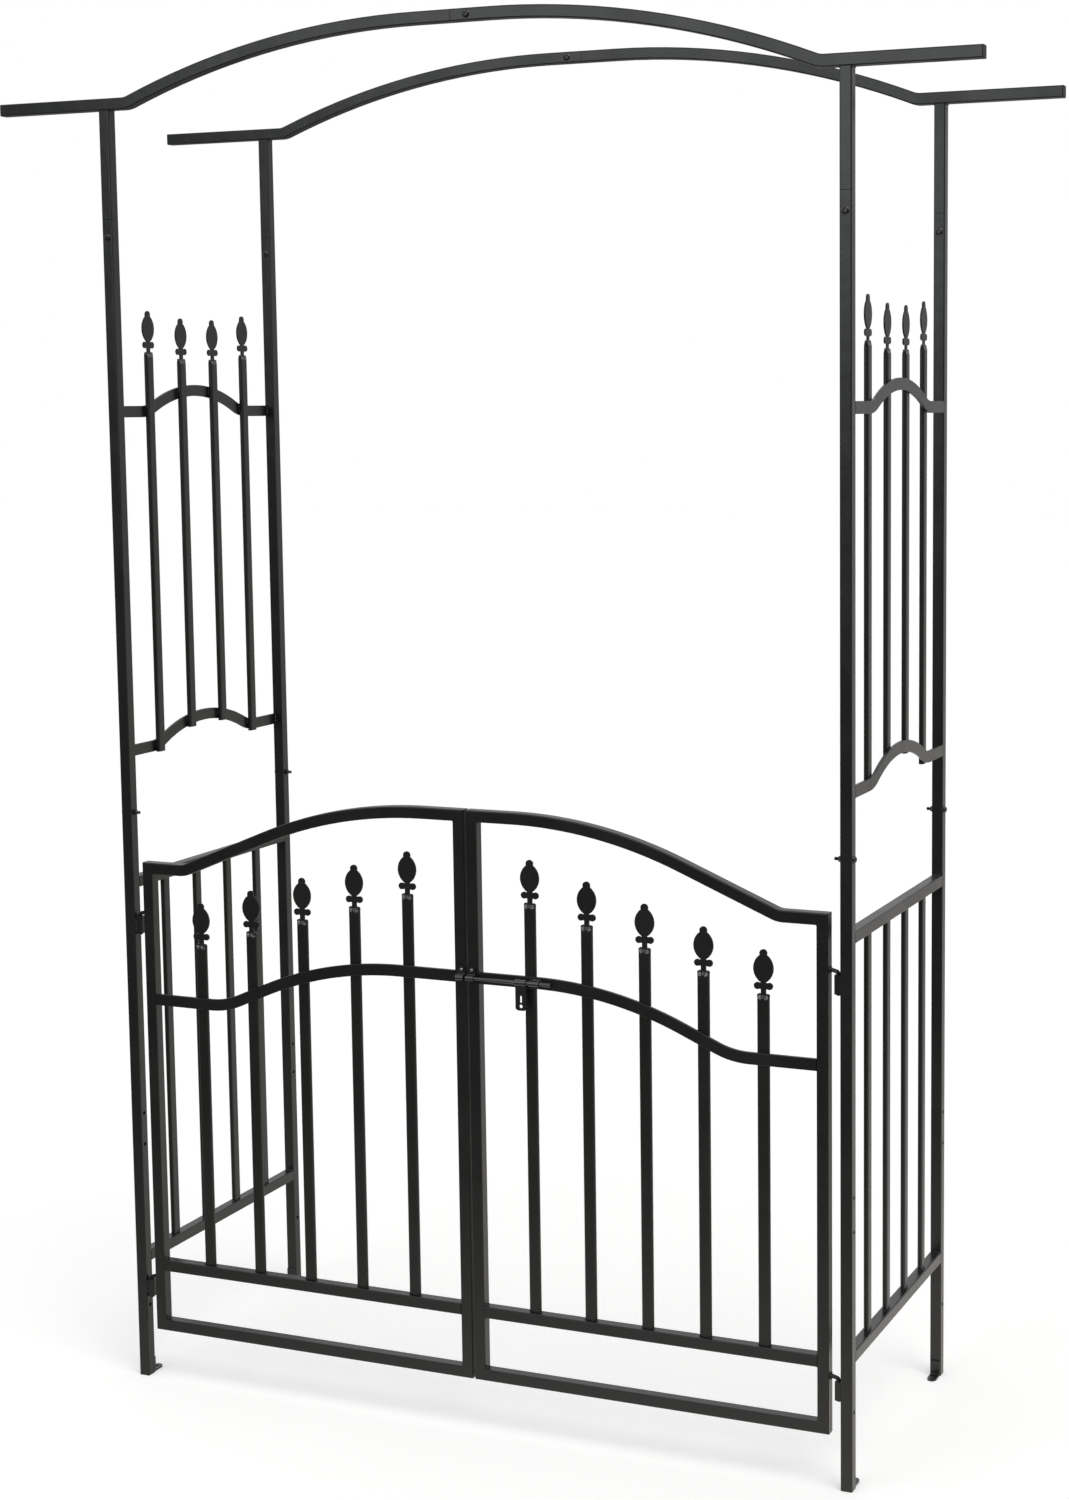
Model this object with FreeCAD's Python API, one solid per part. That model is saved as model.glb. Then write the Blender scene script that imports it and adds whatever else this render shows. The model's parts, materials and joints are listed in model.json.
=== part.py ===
import FreeCAD, Part
import math
import os

# Garden arch with a pair of gates, in millimetres.
# X runs across the passage, Y from the gates to the back of the arch, Z up.
# The origin is on the ground, midway between the four foot holes.

# Square tube of the posts, arches, rails and gate frames
TUBE = 18.0
TUBE_WALL = 1.2
TUBE_CORNER = 2.0
TUBE_END_CHAMFER = 0.4

# Swaged plugs that join one tube to the next
PLUG_ROOT = 10.0
PLUG_LENGTH = 44.0
PLUG_WALL = 1.2
PLUG_CLEARANCE = 0.1

# Posts
POST_SPACING = 1200.0
POST_DEPTH = 450.0
SEAM_ABOVE_GATE = 66.0
UPPER_POST_LENGTH = 938.0
ARCH_LEG_LENGTH = 165.0
POST_HOLE_DIAMETER = 6.0
POST_HOLE_HEIGHTS = (117.0, 384.0, 435.0)

# Arches
ARM_OVERHANG = 190.5
ARCH_RISE = 96.0
ARCH_CROWN_FLAT = 60.0
ARCH_BEND_SETBACK = 32.0
ARCH_BEND_RADIUS = 35.0
ARM_CAP_THICKNESS = 1.5
ARM_CAP_DEPTH = 12.0

# Flat bar of the wave rails
BAR_HEIGHT = 18.0
BAR_THICKNESS = 5.0
BAR_CORNER = 1.0

# Flat-oval tube of the pickets, pinched at the top
PICKET_WIDTH = 19.0
PICKET_THICKNESS = 8.0
PICKET_WALL = 0.8
PINCH_WIDTH = 19.8
PINCH_TAPER = 7.0
PINCH_LIP = 4.0

# Finials, cut from plate
FINIAL_THICKNESS = 2.5
FINIAL_TANG = 12.0
FINIAL_STEM_WIDTH = 7.8
FINIAL_NECK = 5.7
FINIAL_BAR_WIDTH = 29.0
FINIAL_BAR_END = 10.4
FINIAL_BAR_WAIST = 9.0
FINIAL_LEAF_WIDTH = 30.8
FINIAL_LEAF_HEIGHT = 41.2
FINIAL_LEAF_TIP = 7.6
FINIAL_KNOB_DIAMETER = 11.8
FINIAL_KNOB_RISE = 1.4
FINIAL_CLEARANCE = 0.05

# Side panels
SIDE_PICKETS = 4
SIDE_BOTTOM_RAIL_HEIGHT = 188.0
SIDE_TOP_RAIL_DROP = 92.0
SIDE_WAVE_ABOVE_SEAM = 107.0
SIDE_WAVE_SPACING = 536.0
SIDE_WAVE_RISE = 34.0
SIDE_WAVE_END_FLAT = 66.0
SIDE_WAVE_BEND_RADIUS = 80.0
SIDE_PICKET_OVERRUN = 2.0
SIDE_PICKET_ABOVE_WAVE = 94.0
SIDE_INNER_PICKET_DROP = 9.0

# Gate leaves
GATE_GROUND_GAP = 81.0
GATE_STILE_HEIGHT = 765.0
HINGE_GAP = 17.5
LEAF_GAP = 4.0
GATE_LOWER_RAIL_RISE = 99.0
GATE_TOP_RISE = 116.0
GATE_TOP_CROWN_FLAT = 75.0
GATE_TOP_END_FLAT = 68.0
GATE_TOP_STRAIGHT = 153.5
GATE_TOP_BEND_RADIUS = 40.0
GATE_WAVE_DROP = 211.0
GATE_WAVE_RISE = 82.0
GATE_WAVE_CROWN_FLAT = 115.0
GATE_WAVE_END_FLAT = 103.0
GATE_WAVE_STRAIGHT = 57.0
GATE_WAVE_BEND_RADIUS = 125.0
GATE_PICKETS = 5
GATE_PICKET_DROP = 125.0
GATE_PICKET_STEP = 26.5

# Hinges: bent rod hooks that drop into sockets
HOOK_DIAMETER = 6.0
HOOK_BEND_RADIUS = 4.5
HOOK_SLOPE = 14.0
HOOK_SEAT_GAP = 0.3
HOOK_PIN_OVERRUN = 2.0
UPPER_HOOK_DROP = 83.5
LOWER_HOOK_RISE = 84.5
SOCKET_WIDTH = 10.0
SOCKET_CORNER = 1.0
SOCKET_HEIGHT = 28.0
HINGE_CLEARANCE = 0.05

# Latch bolt, drawn back at rest
BOLT_DIAMETER = 6.0
BOLT_LENGTH = 138.0
BOLT_TRAVEL = 64.0
BOLT_END_INSET = 2.0
BOLT_STANDOFF = 5.5
BOLT_CHAMFER = 0.8
BOLT_CLEARANCE = 0.1
CLIP_WALL = 1.5
CLIP_WIDTH = 13.0
CLIP_INSET = 6.5
CLIP_SCREW_RISE = 11.0
CLIP_SCREW_EDGE = 5.0
PARKING_CLIP_WIDTH = 16.5
TAB_STOP_GAP = 5.0
TAB_WIDTH = 18.0
TAB_DROP = 42.0
TAB_THICKNESS = 2.0
TAB_CORNER = 5.0
TAB_SLEEVE_DIAMETER = 10.0
TAB_SLEEVE_CLEARANCE = 0.02
TAB_SLOT_WIDTH = 3.5
TAB_SLOT_LENGTH = 11.0
TAB_SLOT_RISE = 10.7
PADLOCK_HOLE_DIAMETER = 5.5
PADLOCK_HOLE_EDGE = 6.5

# Joint bolts and their nuts
JOINT_BOLT_RISE = 12.0
JOINT_BOLT_DIAMETER = 5.0
JOINT_BOLT_HEAD_DIAMETER = 12.0
JOINT_BOLT_HEAD_HEIGHT = 4.4
JOINT_BOLT_PROJECTION = 10.5
JOINT_HOLE_CLEARANCE = 0.5
NUT_ACROSS_FLATS = 8.0
NUT_HEIGHT = 4.0
THREAD_CLEARANCE = 0.02

# Dome-headed screws of the arches
ARCH_SCREW_DIAMETER = 4.5
ARCH_SCREW_LENGTH = 9.0
ARCH_SCREW_HEAD_DIAMETER = 12.0
ARCH_SCREW_HEAD_HEIGHT = 2.8
LEG_SCREW_DROP = 28.0
SPLICE_SCREW_OFFSET = 26.0

# Dome-headed screws of the latch clips
CLIP_SCREW_DIAMETER = 3.5
CLIP_SCREW_LENGTH = 7.0
CLIP_SCREW_HEAD_DIAMETER = 5.8
CLIP_SCREW_HEAD_HEIGHT = 2.0

# Foot straps
FOOT_THICKNESS = 3.0
FOOT_WIDTH = 15.0
FOOT_LEG = 25.0
FOOT_REACH = 26.0
FOOT_BEND_RADIUS = 2.0
FOOT_HOLE_DIAMETER = 7.0
FOOT_HOLE_REACH = 16.0

# Places worked out from the sizes above
HALF_TUBE = TUBE / 2
POST_X = POST_SPACING / 2
POST_Y = POST_DEPTH / 2
GATE_TOP = GATE_GROUND_GAP + GATE_STILE_HEIGHT
SEAM_Z = GATE_TOP + SEAM_ABOVE_GATE
UPPER_SEAM_Z = SEAM_Z + UPPER_POST_LENGTH
ARM_Z = UPPER_SEAM_Z + ARCH_LEG_LENGTH + HALF_TUBE
CROWN_Z = ARM_Z + ARCH_RISE
GATE_Y = -POST_Y
GATE_FRONT = GATE_Y - HALF_TUBE
LEAF_OUTER = POST_X - HALF_TUBE - HINGE_GAP
LEAF_INNER = LEAF_GAP / 2
HINGE_STILE_FACE = LEAF_OUTER - TUBE
CENTRE_STILE_FACE = LEAF_INNER + TUBE
LOWER_RAIL_Z = GATE_GROUND_GAP + GATE_LOWER_RAIL_RISE + HALF_TUBE
GATE_WAVE_CROWN_Z = GATE_TOP - GATE_WAVE_DROP - BAR_HEIGHT / 2 + GATE_WAVE_RISE
GATE_PICKET_Y = GATE_FRONT + BAR_THICKNESS + PICKET_THICKNESS / 2
PINCH_THICKNESS = FINIAL_THICKNESS + 2 * (FINIAL_CLEARANCE + PICKET_WALL)
HINGE_AXIS_X = POST_X - HALF_TUBE - SOCKET_WIDTH / 2
HOOK_HEIGHTS = (GATE_TOP - UPPER_HOOK_DROP, GATE_GROUND_GAP + LOWER_HOOK_RISE)
BOLT_Y = GATE_FRONT - BOLT_STANDOFF
BOLT_Z = GATE_WAVE_CROWN_Z
CLIP_X = LEAF_INNER + CLIP_INSET
TAB_REST_X = CLIP_X + CLIP_WIDTH / 2 + TAB_STOP_GAP + BOLT_TRAVEL
PARKING_CLIP_X = TAB_REST_X + TAB_WIDTH + TAB_STOP_GAP

Vector = FreeCAD.Vector
ORIGIN = Vector(0, 0, 0)
X_AXIS = Vector(1, 0, 0)
Y_AXIS = Vector(0, 1, 0)
Z_AXIS = Vector(0, 0, 1)
SIDES = (("left", -1), ("right", 1))
ENDS = (("front", -1), ("back", 1))


def outline(width, height, corner):
    """Rounded rectangle in the XY plane, centred on the origin."""
    x = width / 2 - corner
    y = height / 2 - corner
    arcs = []
    for quarter, (across, up) in enumerate(((x, y), (-x, y), (-x, -y), (x, -y))):
        circle = Part.Circle(Vector(across, up, 0), Z_AXIS, corner)
        start = quarter * math.pi / 2
        arcs.append(Part.Arc(circle, start, start + math.pi / 2))
    edges = []
    for quarter, arc in enumerate(arcs):
        edges.append(arc.toShape())
        begin = arc.EndPoint
        end = arcs[(quarter + 1) % 4].StartPoint
        if begin.distanceToPoint(end) > 0.001:
            edges.append(Part.makeLine(begin, end))
    return Part.Wire(edges)


def section(width, height, corner, wall=0.0):
    """Cross-section in the XY plane, hollow where a wall is given."""
    face = Part.Face(outline(width, height, corner))
    if wall == 0:
        return face
    core = Part.Face(outline(width - 2 * wall, height - 2 * wall, corner - wall))
    return face.cut(core).Faces[0]


def along_z(face):
    """A section for a piece that stands upright."""
    return face.copy()


def along_x(face):
    """A section turned to look along X, with its width upright."""
    turned = face.copy()
    turned.rotate(ORIGIN, Y_AXIS, 90)
    return turned


def along_y(face):
    """A section turned to look along Y, with its width upright."""
    turned = along_x(face)
    turned.rotate(ORIGIN, Z_AXIS, 90)
    return turned


def moved(shape, offset):
    """A copy of the shape, shifted by offset."""
    copy = shape.copy()
    copy.translate(offset)
    return copy


def bar(face, start, end):
    """The section swept in a straight line from start to end."""
    return moved(face, start).extrude(end - start)


def mirrored(shape):
    """The same piece on the other side of the passage."""
    return shape.mirror(ORIGIN, X_AXIS)


def on_side(shape, side):
    """A right-hand piece as it is, or mirrored for the left."""
    if side < 0:
        return mirrored(shape)
    return shape


def joined(pieces):
    """Pieces welded into one clean solid."""
    return pieces[0].multiFuse(pieces[1:]).removeSplitter().Solids[0]


def drilled(shape, start, end, diameter):
    """The shape with a round hole from start to end."""
    run = end - start
    return shape.cut(Part.makeCylinder(diameter / 2, run.Length, start, run))


def tube_section():
    return section(TUBE, TUBE, TUBE_CORNER, TUBE_WALL)


def bar_section():
    return section(BAR_HEIGHT, BAR_THICKNESS, BAR_CORNER)


def eased(tube, end):
    """The tube with a small chamfer round the outside of this end."""
    rim = []
    for edge in tube.Edges:
        offset = edge.CenterOfMass - end
        spread = max(abs(offset.x), abs(offset.y), abs(offset.z))
        if spread > HALF_TUBE - TUBE_WALL / 2 and offset.Length < TUBE:
            rim.append(edge)
    return tube.makeChamfer(TUBE_END_CHAMFER, rim)


def with_plug(tube, turn, end, direction):
    """The tube with a swaged plug that stands out of its end along direction."""
    bore = TUBE - 2 * TUBE_WALL
    corner = TUBE_CORNER - TUBE_WALL
    tail_size = bore - 2 * PLUG_CLEARANCE
    tail_corner = corner - PLUG_CLEARANCE
    core_size = bore - 2 * (PLUG_CLEARANCE + PLUG_WALL)
    core = turn(Part.Face(outline(core_size, core_size, tail_corner)))
    root_end = end - direction * PLUG_ROOT
    tail_end = end + direction * PLUG_LENGTH
    root = bar(turn(section(bore, bore, corner)), root_end, end)
    tail = bar(turn(section(tail_size, tail_size, tail_corner)), end, tail_end)
    plug = root.fuse(tail).cut(bar(core, root_end, tail_end))
    return joined([tube, plug])


def s_curve(run, rise, straight, foot_radius):
    """Crest radius and steepest angle of a curve that falls by rise over run."""
    radii = (run ** 2 + rise ** 2 - straight ** 2) / (2 * rise)
    angle = math.atan2(radii, straight) - math.atan2(radii - rise, run)
    return radii - foot_radius, angle


def s_curve_fall(distance, run, rise, foot_radius):
    """How far an S-curve with no straight has fallen at a distance from its crest."""
    crest_radius, angle = s_curve(run, rise, 0, foot_radius)
    if distance < crest_radius * math.sin(angle):
        return crest_radius - math.sqrt(crest_radius ** 2 - distance ** 2)
    return rise - foot_radius + math.sqrt(foot_radius ** 2 - (run - distance) ** 2)


def bent_bar(face, crest_start, crest_end, foot_start, foot_end, rise, straight, foot_radius):
    """Bar along X that is level at z 0, curves down by rise and is level again."""
    crest_radius, angle = s_curve(foot_start - crest_end, rise, straight, foot_radius)
    degrees = math.degrees(angle)
    crest_centre = Vector(crest_end, 0, -crest_radius)
    foot_centre = Vector(foot_start, 0, foot_radius - rise)
    slope = moved(face, Vector(crest_end, 0, 0))
    foot = moved(face, Vector(foot_start, 0, -rise))
    pieces = [slope.revolve(crest_centre, Y_AXIS, degrees)]
    pieces.append(foot.revolve(foot_centre, Y_AXIS, degrees))
    pieces.append(foot.extrude(X_AXIS * (foot_end - foot_start)))
    if crest_end > crest_start:
        pieces.append(bar(face, X_AXIS * crest_start, X_AXIS * crest_end))
    if straight > 0:
        slope.rotate(crest_centre, Y_AXIS, degrees)
        pieces.append(slope.extrude(Vector(math.cos(angle), 0, -math.sin(angle)) * straight))
    return joined(pieces)


def domed_screw(seat, direction, head_diameter, head_height, diameter, length):
    """Screw with its domed head on seat and its shank along direction."""
    dome_radius = (head_diameter ** 2 / 4 + head_height ** 2) / (2 * head_height)
    dome_z = dome_radius - head_height
    half_angle = math.atan2(head_diameter / 2, dome_z) / 2
    crown = Vector(0, 0, -head_height)
    shoulder = Vector(dome_radius * math.sin(half_angle), 0, dome_z - dome_radius * math.cos(half_angle))
    rim = Vector(head_diameter / 2, 0, 0)
    neck = Vector(diameter / 2, 0, 0)
    tip = Z_AXIS * length
    dome = Part.Arc(crown, shoulder, rim).toShape()
    rest = Part.makePolygon([rim, neck, neck + tip, tip, crown])
    screw = Part.Face(Part.Wire([dome] + rest.Edges)).revolve(ORIGIN, Z_AXIS, 360)
    screw.Placement = FreeCAD.Placement(seat, FreeCAD.Rotation(Z_AXIS, direction))
    return screw


def backed_tube(length, diameter, bore, setback):
    """Upright short tube with its +X side squared off to a flat face at setback."""
    back = Part.makeBox(setback, diameter, length, Vector(0, -diameter / 2, 0))
    body = Part.makeCylinder(diameter / 2, length).fuse(back)
    return body.cut(Part.makeCylinder(bore / 2, length)).removeSplitter()


# Posts, arch legs and arches


def lower_post(side, end):
    """Post from the ground to the seam, with its plug, joint hole and spare holes."""
    foot = Vector(side * POST_X, end * POST_Y, 0)
    top = foot + Z_AXIS * SEAM_Z
    post = with_plug(eased(bar(tube_section(), foot, top), top), along_z, top, Z_AXIS)
    across = X_AXIS * TUBE
    hole_sizes = [(height, POST_HOLE_DIAMETER) for height in POST_HOLE_HEIGHTS]
    hole_sizes.append((SEAM_Z + JOINT_BOLT_RISE, JOINT_BOLT_DIAMETER + 2 * JOINT_HOLE_CLEARANCE))
    for height, diameter in hole_sizes:
        middle = foot + Z_AXIS * height
        post = drilled(post, middle - across, middle + across, diameter)
    return post


def upper_post(side, end):
    """Post from the seam to the arch leg, drilled for the joint bolt and leg screw."""
    foot = Vector(side * POST_X, end * POST_Y, SEAM_Z)
    top = foot + Z_AXIS * UPPER_POST_LENGTH
    post = eased(eased(bar(tube_section(), foot, top), foot), top)
    middle = foot + Z_AXIS * JOINT_BOLT_RISE
    across = X_AXIS * TUBE
    hole = JOINT_BOLT_DIAMETER + 2 * JOINT_HOLE_CLEARANCE
    post = drilled(post, middle - across, middle + across, hole)
    return leg_screw_hole(post, side, end)


def arch_leg(side, end):
    """Short post under an arm, with a plug that hangs into the upper post."""
    foot = Vector(side * POST_X, end * POST_Y, UPPER_SEAM_Z)
    leg = eased(bar(tube_section(), foot, foot + Z_AXIS * ARCH_LEG_LENGTH), foot)
    return leg_screw_hole(with_plug(leg, along_z, foot, -Z_AXIS), side, end)


def leg_screw_seat(side, end):
    """Where a leg screw's head bears, on the front face of the upper post."""
    return Vector(side * POST_X, end * POST_Y - HALF_TUBE, UPPER_SEAM_Z - LEG_SCREW_DROP)


def leg_screw_hole(shape, side, end):
    """The shape drilled through its front wall for the leg screw."""
    seat = leg_screw_seat(side, end)
    hole = ARCH_SCREW_DIAMETER + 2 * THREAD_CLEARANCE
    return drilled(shape, seat - Y_AXIS, seat + Y_AXIS * HALF_TUBE, hole)


def splice_screw_seat(end):
    """Where a splice screw's head bears, on the front face beside the crown."""
    return Vector(-end * SPLICE_SCREW_OFFSET, end * POST_Y - HALF_TUBE, CROWN_Z)


def arch_half(side, end):
    """Arm, bend and half curve; one half of each arch carries the splice plug."""
    bend_start = POST_X - ARCH_BEND_SETBACK
    tip = POST_X + ARM_OVERHANG
    crown = eased(bar(along_x(tube_section()), ORIGIN, X_AXIS * TUBE), ORIGIN)
    half = bent_bar(along_x(tube_section()), TUBE, ARCH_CROWN_FLAT, bend_start, tip,
                    ARCH_RISE, 0, ARCH_BEND_RADIUS)
    half = joined([crown, half])
    if side == end:
        half = with_plug(half, along_x, ORIGIN, -X_AXIS)
    half = on_side(half, side)
    half.translate(Vector(0, end * POST_Y, CROWN_Z))
    seat = splice_screw_seat(end)
    hole = ARCH_SCREW_DIAMETER + 2 * THREAD_CLEARANCE
    return drilled(half, seat - Y_AXIS, seat + Y_AXIS * HALF_TUBE, hole)


def arm_cap(side, end):
    """Plastic cap in the open end of an arm."""
    tip = Vector(POST_X + ARM_OVERHANG, end * POST_Y, ARM_Z)
    cover = bar(along_x(section(TUBE, TUBE, TUBE_CORNER)), tip, tip + X_AXIS * ARM_CAP_THICKNESS)
    stub_size = TUBE - 2 * (TUBE_WALL + PLUG_CLEARANCE)
    stub = bar(along_x(section(stub_size, stub_size, TUBE_CORNER - TUBE_WALL)),
               tip - X_AXIS * ARM_CAP_DEPTH, tip)
    return on_side(joined([cover, stub]), side)


# Side panels


def side_rail(side, centre_z):
    """Square rail between a front and a back post."""
    start = Vector(side * POST_X, HALF_TUBE - POST_Y, centre_z)
    end = Vector(side * POST_X, POST_Y - HALF_TUBE, centre_z)
    return bar(along_y(tube_section()), start, end)


def side_wave(side, flat_z):
    """Wave rail between a front and a back post, flush with their outer faces."""
    foot_end = POST_Y - HALF_TUBE
    foot_start = foot_end - SIDE_WAVE_END_FLAT
    half = bent_bar(along_x(bar_section()), 0, 0, foot_start, foot_end,
                    SIDE_WAVE_RISE, 0, SIDE_WAVE_BEND_RADIUS)
    wave = joined([half, mirrored(half)])
    wave.rotate(ORIGIN, Z_AXIS, 90)
    outset = POST_X + HALF_TUBE - BAR_THICKNESS / 2
    return moved(wave, Vector(side * outset, 0, flat_z + SIDE_WAVE_RISE))


def side_wave_heights():
    """Centre heights of the level ends of the lower and upper wave rail."""
    low = SEAM_Z + SIDE_WAVE_ABOVE_SEAM
    return low, low + SIDE_WAVE_SPACING


def side_picket_places():
    """Y of each side picket, with equal gaps between the posts."""
    pitch = (POST_DEPTH - TUBE + PICKET_WIDTH) / (SIDE_PICKETS + 1)
    return [pitch * (index - (SIDE_PICKETS - 1) / 2) for index in range(SIDE_PICKETS)]


def side_picket_tops():
    """Y and top height of each upper picket, with the inner ones lower."""
    top = side_wave_heights()[1] + SIDE_PICKET_ABOVE_WAVE
    tops = []
    for index, y in enumerate(side_picket_places()):
        outermost = index in (0, SIDE_PICKETS - 1)
        tops.append((y, top if outermost else top - SIDE_INNER_PICKET_DROP))
    return tops


def side_picket_x(side):
    """Centre plane of the upper pickets, on the passage side of the wave rails."""
    return side * (POST_X + HALF_TUBE - BAR_THICKNESS - PICKET_THICKNESS / 2)


def picket_outline(width, thickness):
    return outline(width, thickness, thickness / 2)


def pinched_layer(inset, height):
    """Solid picket that narrows to its pinched lip, inset all round."""
    body = picket_outline(PICKET_WIDTH - 2 * inset, PICKET_THICKNESS - 2 * inset)
    lip = picket_outline(PINCH_WIDTH - 2 * inset, PINCH_THICKNESS - 2 * inset)
    shoulder = height - PINCH_LIP - PINCH_TAPER
    taper_end = height - PINCH_LIP
    stem = Part.Face(body).extrude(Z_AXIS * shoulder)
    taper = Part.makeLoft([moved(body, Z_AXIS * shoulder), moved(lip, Z_AXIS * taper_end)], True)
    mouth = moved(Part.Face(lip), Z_AXIS * taper_end).extrude(Z_AXIS * PINCH_LIP)
    return stem.fuse([taper, mouth])


def pinched_picket(height):
    """Flat-oval tube along X, pinched at the top around a finial."""
    return pinched_layer(0, height).cut(pinched_layer(PICKET_WALL, height)).Solids[0]


def plain_picket(height):
    """Flat-oval tube along X, cut square at both ends."""
    corner = PICKET_THICKNESS / 2
    return section(PICKET_WIDTH, PICKET_THICKNESS, corner, PICKET_WALL).extrude(Z_AXIS * height)


def turned_sideways(shape):
    """A gate-facing piece turned to lie in a side panel."""
    turned = shape.copy()
    turned.rotate(ORIGIN, Z_AXIS, 90)
    return turned


def side_lower_pickets(side):
    """Plain pickets between the two square side rails."""
    bottom = SIDE_BOTTOM_RAIL_HEIGHT + TUBE
    picket = turned_sideways(plain_picket(SEAM_Z - SIDE_TOP_RAIL_DROP - TUBE - bottom))
    return [moved(picket, Vector(side * POST_X, y, bottom)) for y in side_picket_places()]


def side_upper_pickets(side):
    """Pinched pickets that hang just below the lower wave rail."""
    low = side_wave_heights()[0]
    run = POST_Y - HALF_TUBE - SIDE_WAVE_END_FLAT
    pickets = []
    for y, top in side_picket_tops():
        fall = s_curve_fall(abs(y), run, SIDE_WAVE_RISE, SIDE_WAVE_BEND_RADIUS)
        bottom = low + SIDE_WAVE_RISE - fall - BAR_HEIGHT / 2 - SIDE_PICKET_OVERRUN
        picket = turned_sideways(pinched_picket(top - bottom))
        pickets.append(moved(picket, Vector(side_picket_x(side), y, bottom)))
    return pickets


def finial():
    """Finial plate facing Y, with its tang below z 0 and its knob on top."""
    thickness = Y_AXIS * FINIAL_THICKNESS

    def plate(face):
        return moved(face, -thickness / 2).extrude(thickness)

    def disc(x, z, diameter):
        circle = Part.Circle(Vector(x, 0, z), Y_AXIS, diameter / 2)
        return plate(Part.Face(Part.Wire(circle.toShape())))

    def block(width, bottom, top):
        left = -width / 2
        return Part.makeBox(width, FINIAL_THICKNESS, top - bottom,
                            Vector(left, -FINIAL_THICKNESS / 2, bottom))

    bar_z = FINIAL_NECK + FINIAL_BAR_END / 2
    bar_end_x = (FINIAL_BAR_WIDTH - FINIAL_BAR_END) / 2
    leaf_bottom = FINIAL_NECK + FINIAL_BAR_END
    leaf_top = leaf_bottom + FINIAL_LEAF_HEIGHT
    leaf_middle = (leaf_bottom + leaf_top) / 2
    tip = FINIAL_LEAF_TIP / 2
    swell = FINIAL_LEAF_WIDTH / 2
    right = Part.Arc(Vector(tip, 0, leaf_bottom), Vector(swell, 0, leaf_middle), Vector(tip, 0, leaf_top))
    left = Part.Arc(Vector(-tip, 0, leaf_top), Vector(-swell, 0, leaf_middle), Vector(-tip, 0, leaf_bottom))
    leaf_edges = [right.toShape(), Part.makeLine(right.EndPoint, left.StartPoint)]
    leaf_edges += [left.toShape(), Part.makeLine(left.EndPoint, right.StartPoint)]
    leaf = plate(Part.Face(Part.Wire(leaf_edges)))
    stem = block(FINIAL_STEM_WIDTH, -FINIAL_TANG, leaf_bottom)
    waist = block(2 * bar_end_x, bar_z - FINIAL_BAR_WAIST / 2, bar_z + FINIAL_BAR_WAIST / 2)
    ends = [disc(side * bar_end_x, bar_z, FINIAL_BAR_END) for side in (-1, 1)]
    root = block(FINIAL_STEM_WIDTH, bar_z, leaf_bottom + FINIAL_STEM_WIDTH / 2)
    knob = disc(0, leaf_top + FINIAL_KNOB_RISE, FINIAL_KNOB_DIAMETER)
    return joined([stem, waist, root, leaf, knob] + ends)


def side_finials():
    """Finials of both side panels."""
    piece = turned_sideways(finial())
    return [moved(piece, Vector(side_picket_x(side), y, top))
            for _, side in SIDES for y, top in side_picket_tops()]


# Gate leaves, modelled on the right


def mitred(shape, outer, inner, waste):
    """The shape cut along the line from the outer to the inner corner of a joint."""
    middle = (outer + inner) / 2
    corners = [middle + (corner - middle) * 2 for corner in (outer, inner, waste)]
    prism = Part.Face(Part.makePolygon(corners + corners[:1])).extrude(Y_AXIS * 2 * TUBE)
    return shape.cut(moved(prism, -Y_AXIS * HALF_TUBE))


def gate_corner(x, z):
    """A point in the front plane of the gate frames."""
    return Vector(x, GATE_FRONT, z)


def gate_stile(outer, inner, top):
    """Upright of a leaf from its outer to its inner face, mitred at both ends."""
    bottom = GATE_GROUND_GAP
    middle = (outer + inner) / 2
    stile = bar(tube_section(), Vector(middle, GATE_Y, bottom), Vector(middle, GATE_Y, top))
    stile = mitred(stile, gate_corner(outer, top), gate_corner(inner, top - TUBE),
                   gate_corner(inner, top))
    return mitred(stile, gate_corner(outer, bottom), gate_corner(inner, bottom + TUBE),
                  gate_corner(inner, bottom))


def hinge_stile():
    """Upright beside the post."""
    return gate_stile(LEAF_OUTER, HINGE_STILE_FACE, GATE_TOP)


def centre_stile():
    """Upright in the middle of the passage, drilled for its clip screw."""
    stile = gate_stile(LEAF_INNER, CENTRE_STILE_FACE, GATE_TOP + GATE_TOP_RISE)
    seat = Vector(CLIP_X, GATE_FRONT, BOLT_Z + CLIP_SCREW_RISE)
    hole = CLIP_SCREW_DIAMETER + 2 * THREAD_CLEARANCE
    return drilled(stile, seat - Y_AXIS, seat + Y_AXIS * HALF_TUBE, hole)


def gate_top_rail():
    """Curved rail from the centre stile down to the hinge stile, mitred to both."""
    crown = GATE_TOP + GATE_TOP_RISE
    rail = bent_bar(along_x(tube_section()), LEAF_INNER, GATE_TOP_CROWN_FLAT,
                    LEAF_OUTER - GATE_TOP_END_FLAT, LEAF_OUTER,
                    GATE_TOP_RISE, GATE_TOP_STRAIGHT, GATE_TOP_BEND_RADIUS)
    rail.translate(Vector(0, GATE_Y, crown - HALF_TUBE))
    rail = mitred(rail, gate_corner(LEAF_INNER, crown), gate_corner(CENTRE_STILE_FACE, crown - TUBE),
                  gate_corner(LEAF_INNER, crown - TUBE))
    return mitred(rail, gate_corner(LEAF_OUTER, GATE_TOP), gate_corner(HINGE_STILE_FACE, GATE_TOP - TUBE),
                  gate_corner(LEAF_OUTER, GATE_TOP - TUBE))


def gate_bottom_rail():
    """Straight rail at the bottom of a leaf, mitred to both stiles."""
    bottom = GATE_GROUND_GAP
    top = bottom + TUBE
    centre_z = bottom + HALF_TUBE
    rail = bar(along_x(tube_section()), Vector(LEAF_INNER, GATE_Y, centre_z),
               Vector(LEAF_OUTER, GATE_Y, centre_z))
    rail = mitred(rail, gate_corner(LEAF_INNER, bottom), gate_corner(CENTRE_STILE_FACE, top),
                  gate_corner(LEAF_INNER, top))
    return mitred(rail, gate_corner(LEAF_OUTER, bottom), gate_corner(HINGE_STILE_FACE, top),
                  gate_corner(LEAF_OUTER, top))


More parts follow.
